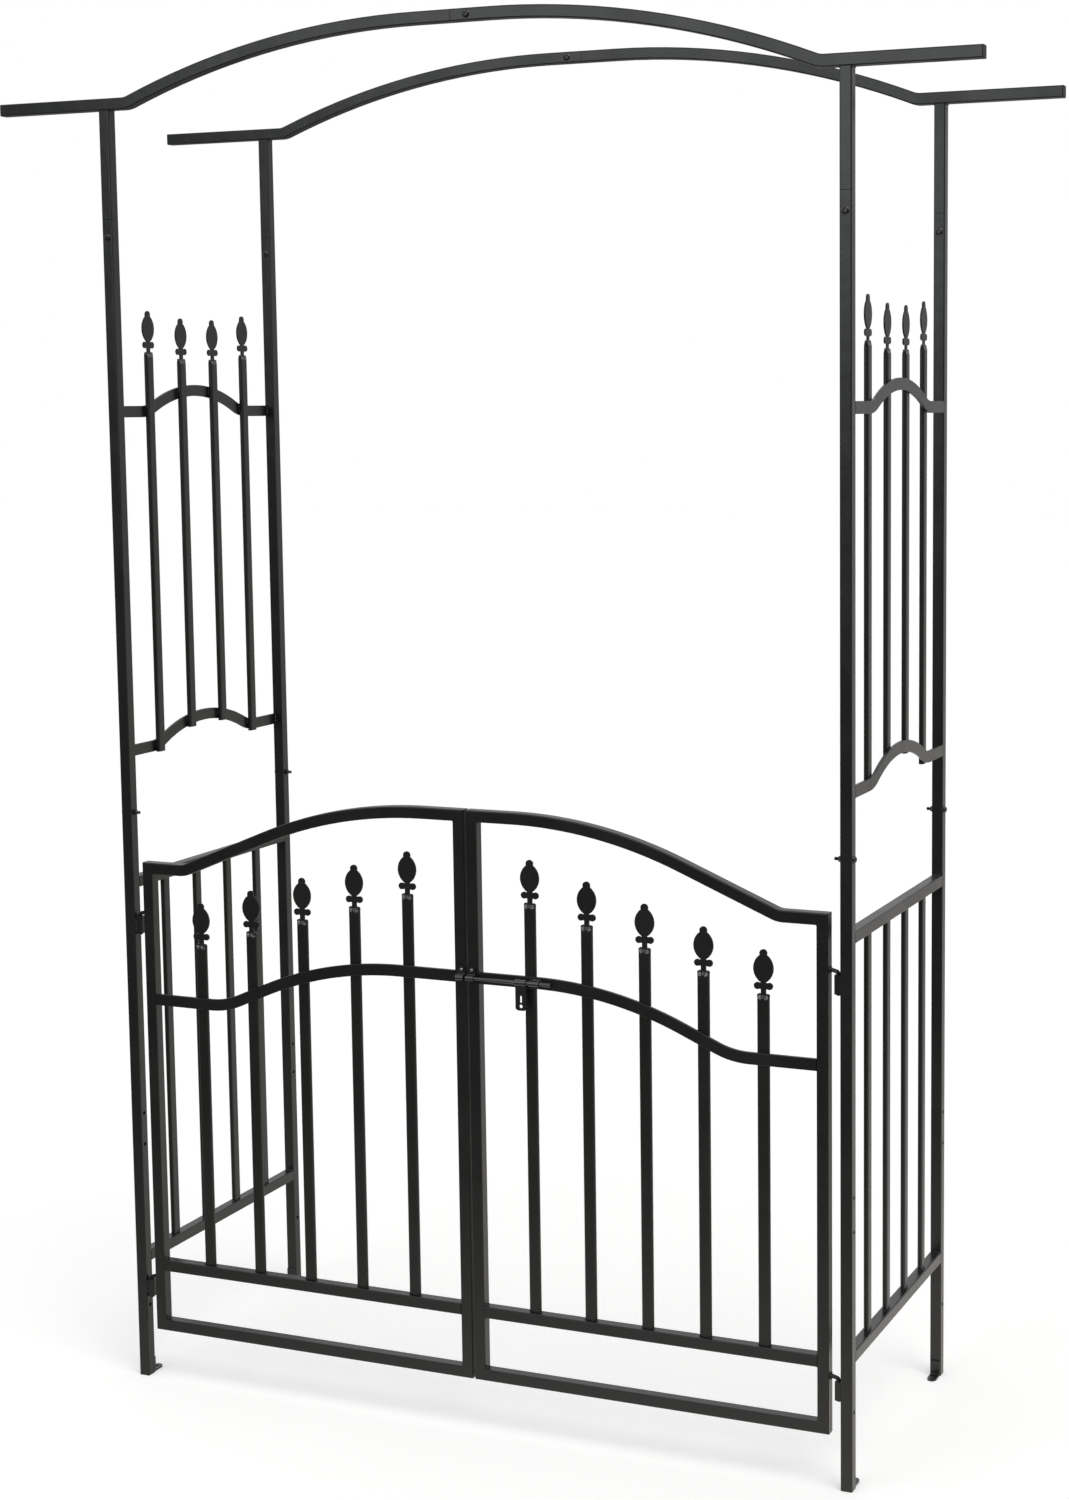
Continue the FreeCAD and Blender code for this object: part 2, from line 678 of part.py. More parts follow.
def gate_lower_rail():
    """Straight rail that carries the pickets, between the stiles."""
    return bar(along_x(tube_section()), Vector(CENTRE_STILE_FACE, GATE_Y, LOWER_RAIL_Z),
               Vector(HINGE_STILE_FACE, GATE_Y, LOWER_RAIL_Z))


def gate_wave_rail():
    """Flat wave rail between the stiles, flush with their front."""
    rail = bent_bar(along_x(bar_section()), CENTRE_STILE_FACE, GATE_WAVE_CROWN_FLAT,
                    HINGE_STILE_FACE - GATE_WAVE_END_FLAT, HINGE_STILE_FACE,
                    GATE_WAVE_RISE, GATE_WAVE_STRAIGHT, GATE_WAVE_BEND_RADIUS)
    return moved(rail, Vector(0, GATE_FRONT + BAR_THICKNESS / 2, GATE_WAVE_CROWN_Z))


def gate_picket_places():
    """X and height of each gate picket, from the hinge stile to the middle."""
    pitch = (HINGE_STILE_FACE - CENTRE_STILE_FACE + PICKET_WIDTH) / (GATE_PICKETS + 1)
    first = HINGE_STILE_FACE + PICKET_WIDTH / 2
    shortest = GATE_TOP - GATE_PICKET_DROP - LOWER_RAIL_Z - HALF_TUBE
    places = []
    for index in range(GATE_PICKETS):
        height = shortest + index * GATE_PICKET_STEP
        places.append((first - pitch * (index + 1), height))
    return places


def gate_pickets():
    """Pickets that stand on the lower rail, behind the wave rail."""
    base = LOWER_RAIL_Z + HALF_TUBE
    return [moved(pinched_picket(height), Vector(x, GATE_PICKET_Y, base))
            for x, height in gate_picket_places()]


def gate_finials():
    """Finials pinched into the tops of the gate pickets."""
    base = LOWER_RAIL_Z + HALF_TUBE
    piece = finial()
    return [moved(piece, Vector(x, GATE_PICKET_Y, base + height))
            for x, height in gate_picket_places()]


# Hinges


def socket_top(hook_z):
    """Height of a socket's rim, just under the hook's bend."""
    return hook_z - HOOK_BEND_RADIUS - HOOK_SEAT_GAP


def hinge_hook(hook_z):
    """Rod that slopes down from the hinge stile and bends into its socket."""
    radius = HOOK_DIAMETER / 2
    slope = math.radians(HOOK_SLOPE)
    end_z = socket_top(hook_z) - SOCKET_HEIGHT - HOOK_PIN_OVERRUN
    bend_end = Vector(HINGE_AXIS_X, GATE_Y, hook_z - HOOK_BEND_RADIUS)
    bend_centre = bend_end - X_AXIS * HOOK_BEND_RADIUS
    rod_end = Part.Face(Part.Wire(Part.Circle(bend_end, Z_AXIS, radius).toShape()))
    bend = rod_end.revolve(bend_centre, Y_AXIS, HOOK_SLOPE - 90)
    outward = Vector(math.sin(slope), 0, math.cos(slope))
    bend_start = bend_centre + outward * HOOK_BEND_RADIUS
    to_stile = Vector(-math.cos(slope), 0, math.sin(slope))
    arm_length = (bend_start.x - LEAF_OUTER) / math.cos(slope) + HOOK_DIAMETER
    arm = Part.makeCylinder(radius, arm_length, bend_start, to_stile)
    clear = Part.makeBox(TUBE, TUBE, arm_length + TUBE,
                         Vector(LEAF_OUTER, GATE_Y - HALF_TUBE, bend_centre.z))
    pin = Part.makeCylinder(radius, bend_end.z - end_z, bend_end, -Z_AXIS)
    return joined([arm.common(clear), bend, pin])


def hinge_socket(hook_z):
    """Square socket with a round bore, welded to the inner face of a front post."""
    top = Vector(HINGE_AXIS_X, GATE_Y, socket_top(hook_z))
    bottom = top - Z_AXIS * SOCKET_HEIGHT
    socket = bar(section(SOCKET_WIDTH, SOCKET_WIDTH, SOCKET_CORNER), bottom, top)
    return drilled(socket, bottom - Z_AXIS, top + Z_AXIS, HOOK_DIAMETER + 2 * HINGE_CLEARANCE)


# Latch


def bolt_loop(width, left_x):
    """Loop round the latch bolt, squared off behind to the gate's front plane."""
    diameter = BOLT_DIAMETER + 2 * (BOLT_CLEARANCE + CLIP_WALL)
    loop = backed_tube(width, diameter, BOLT_DIAMETER + 2 * BOLT_CLEARANCE, BOLT_STANDOFF)
    loop.rotate(ORIGIN, Vector(1, 1, 1), 120)
    return moved(loop, Vector(left_x, BOLT_Y, BOLT_Z))


def screwed_clip():
    """Clip on a centre stile: a loop with a flange above it for one screw."""
    loop = bolt_loop(CLIP_WIDTH, CLIP_X - CLIP_WIDTH / 2)
    height = CLIP_SCREW_RISE + CLIP_SCREW_EDGE - BOLT_DIAMETER / 2
    corner = Vector(CLIP_X - CLIP_WIDTH / 2, GATE_FRONT - CLIP_WALL, BOLT_Z + BOLT_DIAMETER / 2)
    flange = Part.makeBox(CLIP_WIDTH, CLIP_WALL, height, corner)
    seat = Vector(CLIP_X, GATE_FRONT, BOLT_Z + CLIP_SCREW_RISE)
    hole = CLIP_SCREW_DIAMETER + 2 * THREAD_CLEARANCE
    return drilled(joined([loop, flange]), seat - Y_AXIS * TUBE, seat + Y_AXIS, hole)


def clip_screw():
    """Screw through a clip's flange into the centre stile."""
    seat = Vector(CLIP_X, GATE_FRONT - CLIP_WALL, BOLT_Z + CLIP_SCREW_RISE)
    return domed_screw(seat, Y_AXIS, CLIP_SCREW_HEAD_DIAMETER, CLIP_SCREW_HEAD_HEIGHT,
                       CLIP_SCREW_DIAMETER, CLIP_SCREW_LENGTH)


def latch_bolt():
    """Round rod with chamfered ends, drawn back clear of the left leaf."""
    start = Vector(LEAF_INNER + BOLT_END_INSET, BOLT_Y, BOLT_Z)
    rod = Part.makeCylinder(BOLT_DIAMETER / 2, BOLT_LENGTH, start, X_AXIS)
    ends = [edge for edge in rod.Edges if isinstance(edge.Curve, Part.Circle)]
    return rod.makeChamfer(BOLT_CHAMFER, ends)


def latch_tab():
    """Sleeve on the bolt with a padlock tab that hangs from it."""
    middle_x = TAB_REST_X + TAB_WIDTH / 2
    sleeve = Part.makeCylinder(TAB_SLEEVE_DIAMETER / 2, TAB_WIDTH,
                               Vector(TAB_REST_X, BOLT_Y, BOLT_Z), X_AXIS)
    plate = bar(along_y(section(2 * TAB_DROP, TAB_WIDTH, TAB_CORNER)),
                Vector(middle_x, BOLT_Y - TAB_THICKNESS / 2, BOLT_Z),
                Vector(middle_x, BOLT_Y + TAB_THICKNESS / 2, BOLT_Z))
    above = Part.makeBox(TAB_WIDTH, TAB_THICKNESS, TAB_DROP,
                         Vector(TAB_REST_X, BOLT_Y - TAB_THICKNESS / 2, BOLT_Z))
    tab = joined([sleeve, plate.cut(above)])
    bore = BOLT_DIAMETER + 2 * TAB_SLEEVE_CLEARANCE
    tab = drilled(tab, Vector(TAB_REST_X, BOLT_Y, BOLT_Z),
                  Vector(TAB_REST_X + TAB_WIDTH, BOLT_Y, BOLT_Z), bore)
    hole = Vector(middle_x, BOLT_Y, BOLT_Z - TAB_DROP + PADLOCK_HOLE_EDGE)
    tab = drilled(tab, hole - Y_AXIS * TUBE, hole + Y_AXIS * TUBE, PADLOCK_HOLE_DIAMETER)
    slot_middle = hole + Z_AXIS * TAB_SLOT_RISE
    slot = bar(along_y(section(TAB_SLOT_LENGTH, TAB_SLOT_WIDTH, TAB_SLOT_WIDTH / 2)),
               slot_middle - Y_AXIS * TUBE, slot_middle + Y_AXIS * TUBE)
    return tab.cut(slot)


# Fasteners and feet


def joint_bolt(side, end):
    """Domed bolt across a post joint, with its head on the outer face."""
    seat = Vector(side * (POST_X + HALF_TUBE), end * POST_Y, SEAM_Z + JOINT_BOLT_RISE)
    return domed_screw(seat, X_AXIS * -side, JOINT_BOLT_HEAD_DIAMETER, JOINT_BOLT_HEAD_HEIGHT,
                       JOINT_BOLT_DIAMETER, TUBE + JOINT_BOLT_PROJECTION)


def joint_nut(side, end):
    """Hexagon nut against the inner face of the post."""
    radius = NUT_ACROSS_FLATS / 2 / math.cos(math.pi / 6)
    corners = []
    for index in range(7):
        angle = index * math.pi / 3
        corners.append(Vector(0, radius * math.cos(angle), radius * math.sin(angle)))
    prism = Part.Face(Part.makePolygon(corners)).extrude(X_AXIS * NUT_HEIGHT)
    bore = JOINT_BOLT_DIAMETER + 2 * THREAD_CLEARANCE
    nut = drilled(prism, -X_AXIS, X_AXIS * (NUT_HEIGHT + 1), bore)
    inner_face = POST_X - HALF_TUBE
    nut.translate(Vector(inner_face - NUT_HEIGHT, end * POST_Y, SEAM_Z + JOINT_BOLT_RISE))
    return on_side(nut, side)


def arch_screws():
    """One screw for each arch leg and one for each crown splice."""
    seats = [leg_screw_seat(side, end) for _, side in SIDES for _, end in ENDS]
    seats += [splice_screw_seat(end) for _, end in ENDS]
    return [domed_screw(seat, Y_AXIS, ARCH_SCREW_HEAD_DIAMETER, ARCH_SCREW_HEAD_HEIGHT,
                        ARCH_SCREW_DIAMETER, ARCH_SCREW_LENGTH) for seat in seats]


def foot_strap(side, end):
    """Bent strap on the post's face towards the middle, with a ground hole."""
    leg = Part.makeBox(FOOT_WIDTH, FOOT_THICKNESS, FOOT_LEG, Vector(-FOOT_WIDTH / 2, 0, 0))
    tongue = Part.makeBox(FOOT_WIDTH, FOOT_REACH, FOOT_THICKNESS, Vector(-FOOT_WIDTH / 2, 0, 0))
    strap = joined([leg, tongue])
    inner_bend = Vector(0, FOOT_THICKNESS, FOOT_THICKNESS)
    bend_edges = [edge for edge in strap.Edges if edge.CenterOfMass.distanceToPoint(inner_bend) < 0.01]
    strap = strap.makeFillet(FOOT_BEND_RADIUS, bend_edges)
    round_y = FOOT_REACH - FOOT_WIDTH / 2
    plan = Part.makeBox(FOOT_WIDTH, round_y, FOOT_LEG, Vector(-FOOT_WIDTH / 2, 0, 0))
    plan = plan.fuse(Part.makeCylinder(FOOT_WIDTH / 2, FOOT_LEG, Vector(0, round_y, 0)))
    strap = strap.common(plan.removeSplitter())
    hole = Vector(0, FOOT_HOLE_REACH, 0)
    strap = drilled(strap, hole - Z_AXIS, hole + Z_AXIS * FOOT_LEG, FOOT_HOLE_DIAMETER)
    if end > 0:
        strap.rotate(ORIGIN, Z_AXIS, 180)
    return moved(strap, Vector(side * POST_X, end * (POST_Y - HALF_TUBE), 0))


def every_corner(make):
    """One piece for each of the four posts."""
    return [make(side, end) for _, side in SIDES for _, end in ENDS]


# Assembly


def frame_nodes():
    """Everything that stands still."""
    nodes = {}
    for end_name, end in ENDS:
        for side_name, side in SIDES:
            place = f"{end_name}_{side_name}"
            nodes[f"lower_post_{place}"] = [lower_post(side, end)]
            nodes[f"upper_post_{place}"] = [upper_post(side, end)]
            nodes[f"arch_leg_{place}"] = [arch_leg(side, end)]
            nodes[f"arch_half_{place}"] = [arch_half(side, end)]
    low, high = side_wave_heights()
    bottom_rail_z = SIDE_BOTTOM_RAIL_HEIGHT + HALF_TUBE
    top_rail_z = SEAM_Z - SIDE_TOP_RAIL_DROP - HALF_TUBE
    for side_name, side in SIDES:
        nodes[f"side_bottom_rail_{side_name}"] = [side_rail(side, bottom_rail_z)]
        nodes[f"side_top_rail_{side_name}"] = [side_rail(side, top_rail_z)]
        nodes[f"side_lower_wave_{side_name}"] = [side_wave(side, low)]
        nodes[f"side_upper_wave_{side_name}"] = [side_wave(side, high)]
        nodes[f"side_lower_pickets_{side_name}"] = side_lower_pickets(side)
        nodes[f"side_upper_pickets_{side_name}"] = side_upper_pickets(side)
        nodes[f"hinge_sockets_{side_name}"] = [on_side(hinge_socket(z), side) for z in HOOK_HEIGHTS]
    nodes["side_finials"] = side_finials()
    nodes["arm_caps"] = every_corner(arm_cap)
    nodes["joint_bolts"] = every_corner(joint_bolt)
    nodes["joint_nuts"] = every_corner(joint_nut)
    nodes["foot_straps"] = every_corner(foot_strap)
    nodes["arch_screws"] = arch_screws()
    return nodes


def leaf_nodes():
    """Both gate leaves, the left one mirrored."""
    leaf = {
        "hinge_stile": [hinge_stile()],
        "centre_stile": [centre_stile()],
        "top_rail": [gate_top_rail()],
        "wave_rail": [gate_wave_rail()],
        "lower_rail": [gate_lower_rail()],
        "bottom_rail": [gate_bottom_rail()],
        "pickets": gate_pickets(),
        "finials": gate_finials(),
        "hinge_hooks": [hinge_hook(z) for z in HOOK_HEIGHTS],
    }
    nodes = {}
    for side_name, side in SIDES:
        for name, pieces in leaf.items():
            nodes[f"gate_{name}_{side_name}"] = [on_side(piece, side) for piece in pieces]
    return nodes


def latch_nodes():
    """Latch bolt with its tab, its guides on the right leaf and its keeper on the left."""
    parking_clip = bolt_loop(PARKING_CLIP_WIDTH, PARKING_CLIP_X)
    return {
        "latch_bolt": [latch_bolt()],
        "latch_tab": [latch_tab()],
        "latch_guides": [screwed_clip(), parking_clip],
        "latch_guide_screw": [clip_screw()],
        "latch_keeper": [mirrored(screwed_clip())],
        "latch_keeper_screw": [mirrored(clip_screw())],
    }


def main():
    os.makedirs("parts", exist_ok=True)
    nodes = {**frame_nodes(), **leaf_nodes(), **latch_nodes()}
    for name, pieces in nodes.items():
        shape = pieces[0]
        if len(pieces) > 1:
            shape = Part.makeCompound(pieces)
        shape.exportStep(f"parts/{name}.step")


main()
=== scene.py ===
import json
import math

import bmesh
import bpy
from mathutils import Matrix, Vector


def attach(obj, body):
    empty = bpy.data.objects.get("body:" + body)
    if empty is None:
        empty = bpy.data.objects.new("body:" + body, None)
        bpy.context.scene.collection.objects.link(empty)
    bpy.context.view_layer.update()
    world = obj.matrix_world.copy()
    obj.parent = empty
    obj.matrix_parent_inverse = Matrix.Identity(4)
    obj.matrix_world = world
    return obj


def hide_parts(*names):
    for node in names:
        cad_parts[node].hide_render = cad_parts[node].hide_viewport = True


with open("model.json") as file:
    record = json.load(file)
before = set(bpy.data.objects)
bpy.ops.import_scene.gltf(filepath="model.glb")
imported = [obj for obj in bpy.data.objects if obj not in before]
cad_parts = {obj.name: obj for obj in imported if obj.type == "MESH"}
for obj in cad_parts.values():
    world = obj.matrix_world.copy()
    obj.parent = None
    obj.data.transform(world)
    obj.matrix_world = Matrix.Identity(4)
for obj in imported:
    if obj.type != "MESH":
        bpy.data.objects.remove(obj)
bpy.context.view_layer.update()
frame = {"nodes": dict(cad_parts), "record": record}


class Level:
    """One value in a shader, so that shader maths is written as plain sums."""

    def __init__(self, shader, socket):
        self.shader = shader
        self.socket = socket

    def sum(self, operation, first, second):
        return self.shader.node("Math", {"operation": operation}, {0: first, 1: second})

    def __add__(self, other):
        return self.sum("ADD", self, other)

    def __radd__(self, other):
        return self.sum("ADD", other, self)

    def __sub__(self, other):
        return self.sum("SUBTRACT", self, other)

    def __rsub__(self, other):
        return self.sum("SUBTRACT", other, self)

    def __mul__(self, other):
        return self.sum("MULTIPLY", self, other)

    def __rmul__(self, other):
        return self.sum("MULTIPLY", other, self)


class Shader:
    """The nodes of one material or world."""

    def __init__(self, owner):
        owner.use_nodes = True
        self.tree = owner.node_tree
        self.tree.nodes.clear()

    def node(self, kind, settings=None, sockets=None, output=0):
        """Adds a node, with its settings first and then its values and links."""
        made = self.tree.nodes.new("ShaderNode" + kind)
        for name, value in (settings or {}).items():
            setattr(made, name, value)
        for name, value in (sockets or {}).items():
            if isinstance(value, Level):
                self.tree.links.new(value.socket, made.inputs[name])
            else:
                made.inputs[name].default_value = value
        if not made.outputs:
            return made
        return Level(self, made.outputs[output])

    def kept_node(self, kind, settings=None, sockets=None):
        """Adds a node whose outputs are picked by the caller."""
        self.node(kind, settings, sockets)
        return self.tree.nodes[-1]

    def mix(self, factor, first, second):
        """Blends two colours."""
        return self.node("Mix", {"data_type": "RGBA"}, {0: factor, 6: first, 7: second}, 2)

    def noise(self, place, scale, detail, roughness=0.5):
        """Cloudy noise between 0 and 1."""
        return self.node("TexNoise", {}, {"Vector": place, "Scale": scale, "Detail": detail,
                                          "Roughness": roughness})

    def band(self, value, low, high):
        """0 below low and 1 above high, with a smooth step between."""
        return self.node("MapRange", {"interpolation_type": "SMOOTHSTEP"},
                         {"Value": value, "From Min": low, "From Max": high})

    def bump(self, height, distance, normal=None):
        """Surface normal that follows a height, over another normal where one is given."""
        sockets = {"Height": height, "Distance": distance}
        if normal:
            sockets["Normal"] = normal
        return self.node("Bump", {}, sockets)


# Finishes


def coat(name, colour, dusty, roughness, specular, peel):
    """Baked powder coat with a fine orange peel, faint clouding and rubbed specks."""
    material = bpy.data.materials.new(name)
    shader = Shader(material)
    place = shader.node("TexCoord", output="Object")
    clouds = shader.noise(place, scale=9.0, detail=3.0, roughness=0.6)
    grain = shader.noise(place, scale=420.0, detail=2.0)
    orange_peel = shader.noise(place, scale=700.0, detail=1.5)
    rubbing = shader.noise(place, scale=160.0, detail=4.0, roughness=0.7)
    specks = shader.band(rubbing, low=0.72, high=0.78)
    film = shader.band(clouds, low=0.35, high=0.75)
    base = shader.mix(film * 0.55 + specks * 0.25, colour, dusty)
    gloss = roughness + film * 0.07 + grain * 0.06 - specks * 0.05
    soft = shader.bump(clouds, distance=0.0012)
    normal = shader.bump(orange_peel, distance=peel, normal=soft)
    finish = shader.node("BsdfPrincipled", {}, {
        "Base Color": base, "Roughness": gloss, "Normal": normal,
        "Specular IOR Level": specular})
    shader.node("OutputMaterial", {}, {"Surface": finish})
    return material


def bright_metal(name, colour, stained, roughness):
    """Zinc-plated steel with a fine grain and darker stains."""
    material = bpy.data.materials.new(name)
    shader = Shader(material)
    place = shader.node("TexCoord", output="Object")
    staining = shader.noise(place, scale=380.0, detail=4.0, roughness=0.65)
    stains = shader.band(staining, low=0.45, high=0.7)
    brushing = shader.noise(place, scale=2600.0, detail=3.0)
    finish = shader.node("BsdfPrincipled", {}, {
        "Base Color": shader.mix(stains, colour, stained), "Metallic": 1.0,
        "Roughness": roughness + stains * 0.15 + brushing * 0.08,
        "Normal": shader.bump(brushing, distance=0.00003)})
    shader.node("OutputMaterial", {}, {"Surface": finish})
    return material


def moulded_plastic(name, colour, worn, roughness):
    """Matte black plastic with the fine spark texture of its mould."""
    material = bpy.data.materials.new(name)
    shader = Shader(material)
    place = shader.node("TexCoord", output="Object")
    spark = shader.noise(place, scale=1500.0, detail=3.0, roughness=0.7)
    scuffing = shader.noise(place, scale=90.0, detail=5.0, roughness=0.7)
    scuffs = shader.band(scuffing, low=0.55, high=0.75)
    finish = shader.node("BsdfPrincipled", {}, {
        "Base Color": shader.mix(scuffs, colour, worn),
        "Roughness": roughness - scuffs * 0.12, "Specular IOR Level": 0.35,
        "Normal": shader.bump(spark, distance=0.00006)})
    shader.node("OutputMaterial", {}, {"Surface": finish})
    return material


frame_coat = coat("frame_powder_coat", (0.0062, 0.0066, 0.0066, 1), (0.0105, 0.0108, 0.0104, 1),
                  roughness=0.25, specular=0.50, peel=0.00004)
gate_coat = coat("gate_powder_coat", (0.0060, 0.0063, 0.0060, 1), (0.0098, 0.0100, 0.0094, 1),
                 roughness=0.27, specular=0.48, peel=0.00004)
picket_coat = coat("picket_powder_coat", (0.0062, 0.0064, 0.0060, 1), (0.0100, 0.0100, 0.0092, 1),
                   roughness=0.29, specular=0.48, peel=0.00005)
finial_coat = coat("finial_powder_coat", (0.0060, 0.0062, 0.0060, 1), (0.0095, 0.0097, 0.0093, 1),
                   roughness=0.36, specular=0.40, peel=0.00007)
# Lighter coat for the upward slopes of the picket dents: its lighter colour is a painted
# highlight, its lower roughness is real gloss
dent_painted_highlight_coat = coat("dent_painted_highlight_powder_coat", (0.0130, 0.0130, 0.0125, 1), (0.0220, 0.0220, 0.0212, 1),
                   roughness=0.15, specular=0.85, peel=0.00003)
latch_coat = coat("latch_gloss_coat", (0.0062, 0.0064, 0.0062, 1), (0.0105, 0.0107, 0.0105, 1),
                  roughness=0.10, specular=0.95, peel=0.00002)
weld_coat = coat("weld_powder_coat", (0.0066, 0.0069, 0.0067, 1), (0.0120, 0.0122, 0.0118, 1),
                 roughness=0.20, specular=0.60, peel=0.00005)
black_bolt = coat("black_bolt_coat", (0.0060, 0.0063, 0.0066, 1), (0.0130, 0.0134, 0.0138, 1),
                  roughness=0.12, specular=0.60, peel=0.00002)
zinc = bright_metal("blackened_zinc_screw", (0.30, 0.30, 0.31, 1), (0.10, 0.10, 0.105, 1),
                    roughness=0.24)
cap_plastic = moulded_plastic("cap_moulded_plastic", (0.0075, 0.0077, 0.0080, 1),
                              (0.0150, 0.0152, 0.0155, 1), roughness=0.55)

SLOT_FINISHES = {
    "frame_coat": frame_coat,
    "gate_coat": gate_coat,
    "picket_coat": picket_coat,
    "finial_coat": finial_coat,
    "latch_coat": latch_coat,
    "fastener": black_bolt,
    "cap_plastic": cap_plastic,
}


def finish_nodes():
    """Gives each CAD node the finish of its slot."""
    for part in frame["record"]["subparts"]:
        piece = frame["nodes"][part["node"]]
        piece.data.materials.clear()
        piece.data.materials.append(SLOT_FINISHES[part["material_slot"]])


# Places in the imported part, in millimetres

MM = 0.001
HALF_TUBE = 9.0
POST_X = 600.0
POST_Y = 225.0
RAIL_END_Y = POST_Y - HALF_TUBE
SIDE_RAIL_HEIGHTS = (197.0, 811.0)
SIDE_WAVE_HEIGHTS = (1019.0, 1555.0)
SIDE_WAVE_RISE = 34.0
SIDE_WAVE_RUN = 150.0
SIDE_WAVE_FOOT_RADIUS = 80.0
SIDE_PICKETS_Y = (-135.3, -45.1, 45.1, 135.3)
SIDE_PICKET_TOPS = (1649.0, 1640.0, 1640.0, 1649.0)
SIDE_PICKET_OVERHANG = 11.0
BAR_INNER_X = 604.0
ARM_UNDERSIDE_Z = 2015.0
CROWN_Z = 2120.0
FOOT_STRAP_TOP = 25.0
LEG_SCREW_Z = 1822.0
SPLICE_SCREW_X = 26.0
JOINT_BOLT_Z = 924.0

GATE_Y = -POST_Y
GATE_FRONT_Y = GATE_Y - HALF_TUBE
BAR_THICKNESS = 5.0
GATE_BAR_BACK_Y = GATE_FRONT_Y + BAR_THICKNESS
LEAF_OUTER_X = 573.5
HINGE_STILE_FACE_X = 555.5
CENTRE_STILE_FACE_X = 20.0
STILE_FACES_X = (HINGE_STILE_FACE_X, CENTRE_STILE_FACE_X)
BOTTOM_RAIL_TOP = 99.0
LOWER_RAIL = (180.0, 198.0)
TOP_RAIL_UNDERSIDES = (828.0, 944.0)
GATE_WAVE_CROWN_Z = 708.0
GATE_WAVE_FALL = 82.0
GATE_WAVE_CURVE = (115.0, 452.5)
GATE_WAVE_STRAIGHT = 57.0
GATE_WAVE_FOOT_RADIUS = 125.0
GATE_PICKETS_X = (472.55, 380.1, 287.75, 195.3, 102.9)
GATE_PICKET_TOPS = (721.0, 747.5, 774.0, 800.5, 827.0)
HOOK_ROOTS = (764.03, 167.03)
SOCKET_POST_X = 591.0
SOCKET_SPANS = ((729.7, 757.7), (132.7, 160.7))
CLIP_SCREW_X = 8.5
CLIP_SCREW_Z = 719.0
CLIP_THICKNESS = 1.5
CLIP_FRONT_Y = GATE_FRONT_Y - CLIP_THICKNESS
PARKING_CLIP_X = (107.0, 123.5)


def mm(x, y, z):
    """A place in the scene from millimetres."""
    return Vector((x, y, z)) * MM


# Making pieces


def made_piece(name, shape, finish, body, crease=36):
    """Turns a closed shape into a smooth-shaded piece that rides on a body."""
    bmesh.ops.recalc_face_normals(shape, faces=shape.faces)
    mesh = bpy.data.meshes.new(name)
    shape.to_mesh(mesh)
    shape.free()
    mesh.materials.append(finish)
    mesh.shade_smooth()
    mesh.set_sharp_from_angle(angle=math.radians(crease))
    piece = bpy.data.objects.new(name, mesh)
    bpy.context.scene.collection.objects.link(piece)
    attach(piece, body)
    return piece


def skin(shape, rings):
    """Joins rings of points into a tube and returns its rows of corners."""
    rows = [[shape.verts.new(place) for place in ring] for ring in rings]
    for low, high in zip(rows, rows[1:]):
        for index in range(len(low)):
            after = (index + 1) % len(low)
            shape.faces.new((low[index], low[after], high[after], high[index]))
    return rows


def capped(shape, rings):
    """Closed body through rings of points, with a flat face at each end."""
    rows = skin(shape, rings)
    shape.faces.new(rows[0][::-1])
    shape.faces.new(rows[-1])


# Welds

# The shape of every bead
WELD_SIDES = 8
WELD_STEP = 0.55
WELD_RIPPLE = 2.3
WELD_END_ROUNDING = 0.93
WELD_DRIFT = 0.10
WELD_DRIFT_PACE = 0.31

# Radii of the beads
RAIL_WELD = 1.9
TUBE_WELD = 1.8
THIN_WELD = 1.5
CROSSING_WELD = 1.4
PICKET_WELD = 1.3
HOOK_WELD = 2.1

# How far the beads reach to each side of their middle
TUBE_REACH = 6.8
BAR_REACH = 7.0
CROSSING_REACH = 6.0
FOOT_REACH = 6.0
OVAL_REACH = 2.6

# How far the beads lie from the middle of what they fix
PICKET_END_OFFSET = 9.3
PICKET_FLAT_OFFSET = 7.6
SOCKET_OFFSET = 4.6
SOCKET_INSET = 2.0

# Half width and half height of the ring of weld round a hinge hook's root
HOOK_RING = (3.2, 3.8)
HOOK_RING_CORNERS = 16


def weld(shape, corners, radius, unevenness=0.16):
    """Rippled weld bead along a run of corners, with rounded ends; unevenness is a part of 1."""
    points = [Vector(corner) for corner in corners]
    lengths = [(after - before).length for before, after in zip(points, points[1:])]
    total = sum(lengths)
    steps = max(8, round(total / WELD_STEP))
    across = (points[1] - points[0]).orthogonal().normalized()
    rings = []
    for step in range(steps + 1):
        reached = total * step / steps
        place, direction = along_run(points, lengths, reached)
        across = (across - direction * across.dot(direction)).normalized()
        upward = direction.cross(across)
        end = min(reached, total - reached)
        rounding = math.sqrt(1 - max(0.0, 1 - end / radius) ** 2 * WELD_END_ROUNDING)
        phase = reached * 2 * math.pi / WELD_RIPPLE + points[0].x + points[0].z
        drift = WELD_DRIFT * math.sin(phase * WELD_DRIFT_PACE)
        swell = rounding * (1 + unevenness * math.sin(phase) + drift)
        rings.append([(place + across * math.cos(turn) * radius * swell
                       + upward * math.sin(turn) * radius * swell) * MM
                      for turn in turns(WELD_SIDES)])
    capped(shape, rings)


def turns(count):
    """Equal turns round a circle."""
    return [index * 2 * math.pi / count for index in range(count)]


def along_run(points, lengths, reached):
    """Place and direction at a distance along a run of straight lines."""
    for start, end, length in zip(points, points[1:], lengths):
        if reached <= length or end is points[-1]:
            direction = (end - start).normalized()
            return start + direction * reached, direction
        reached -= length


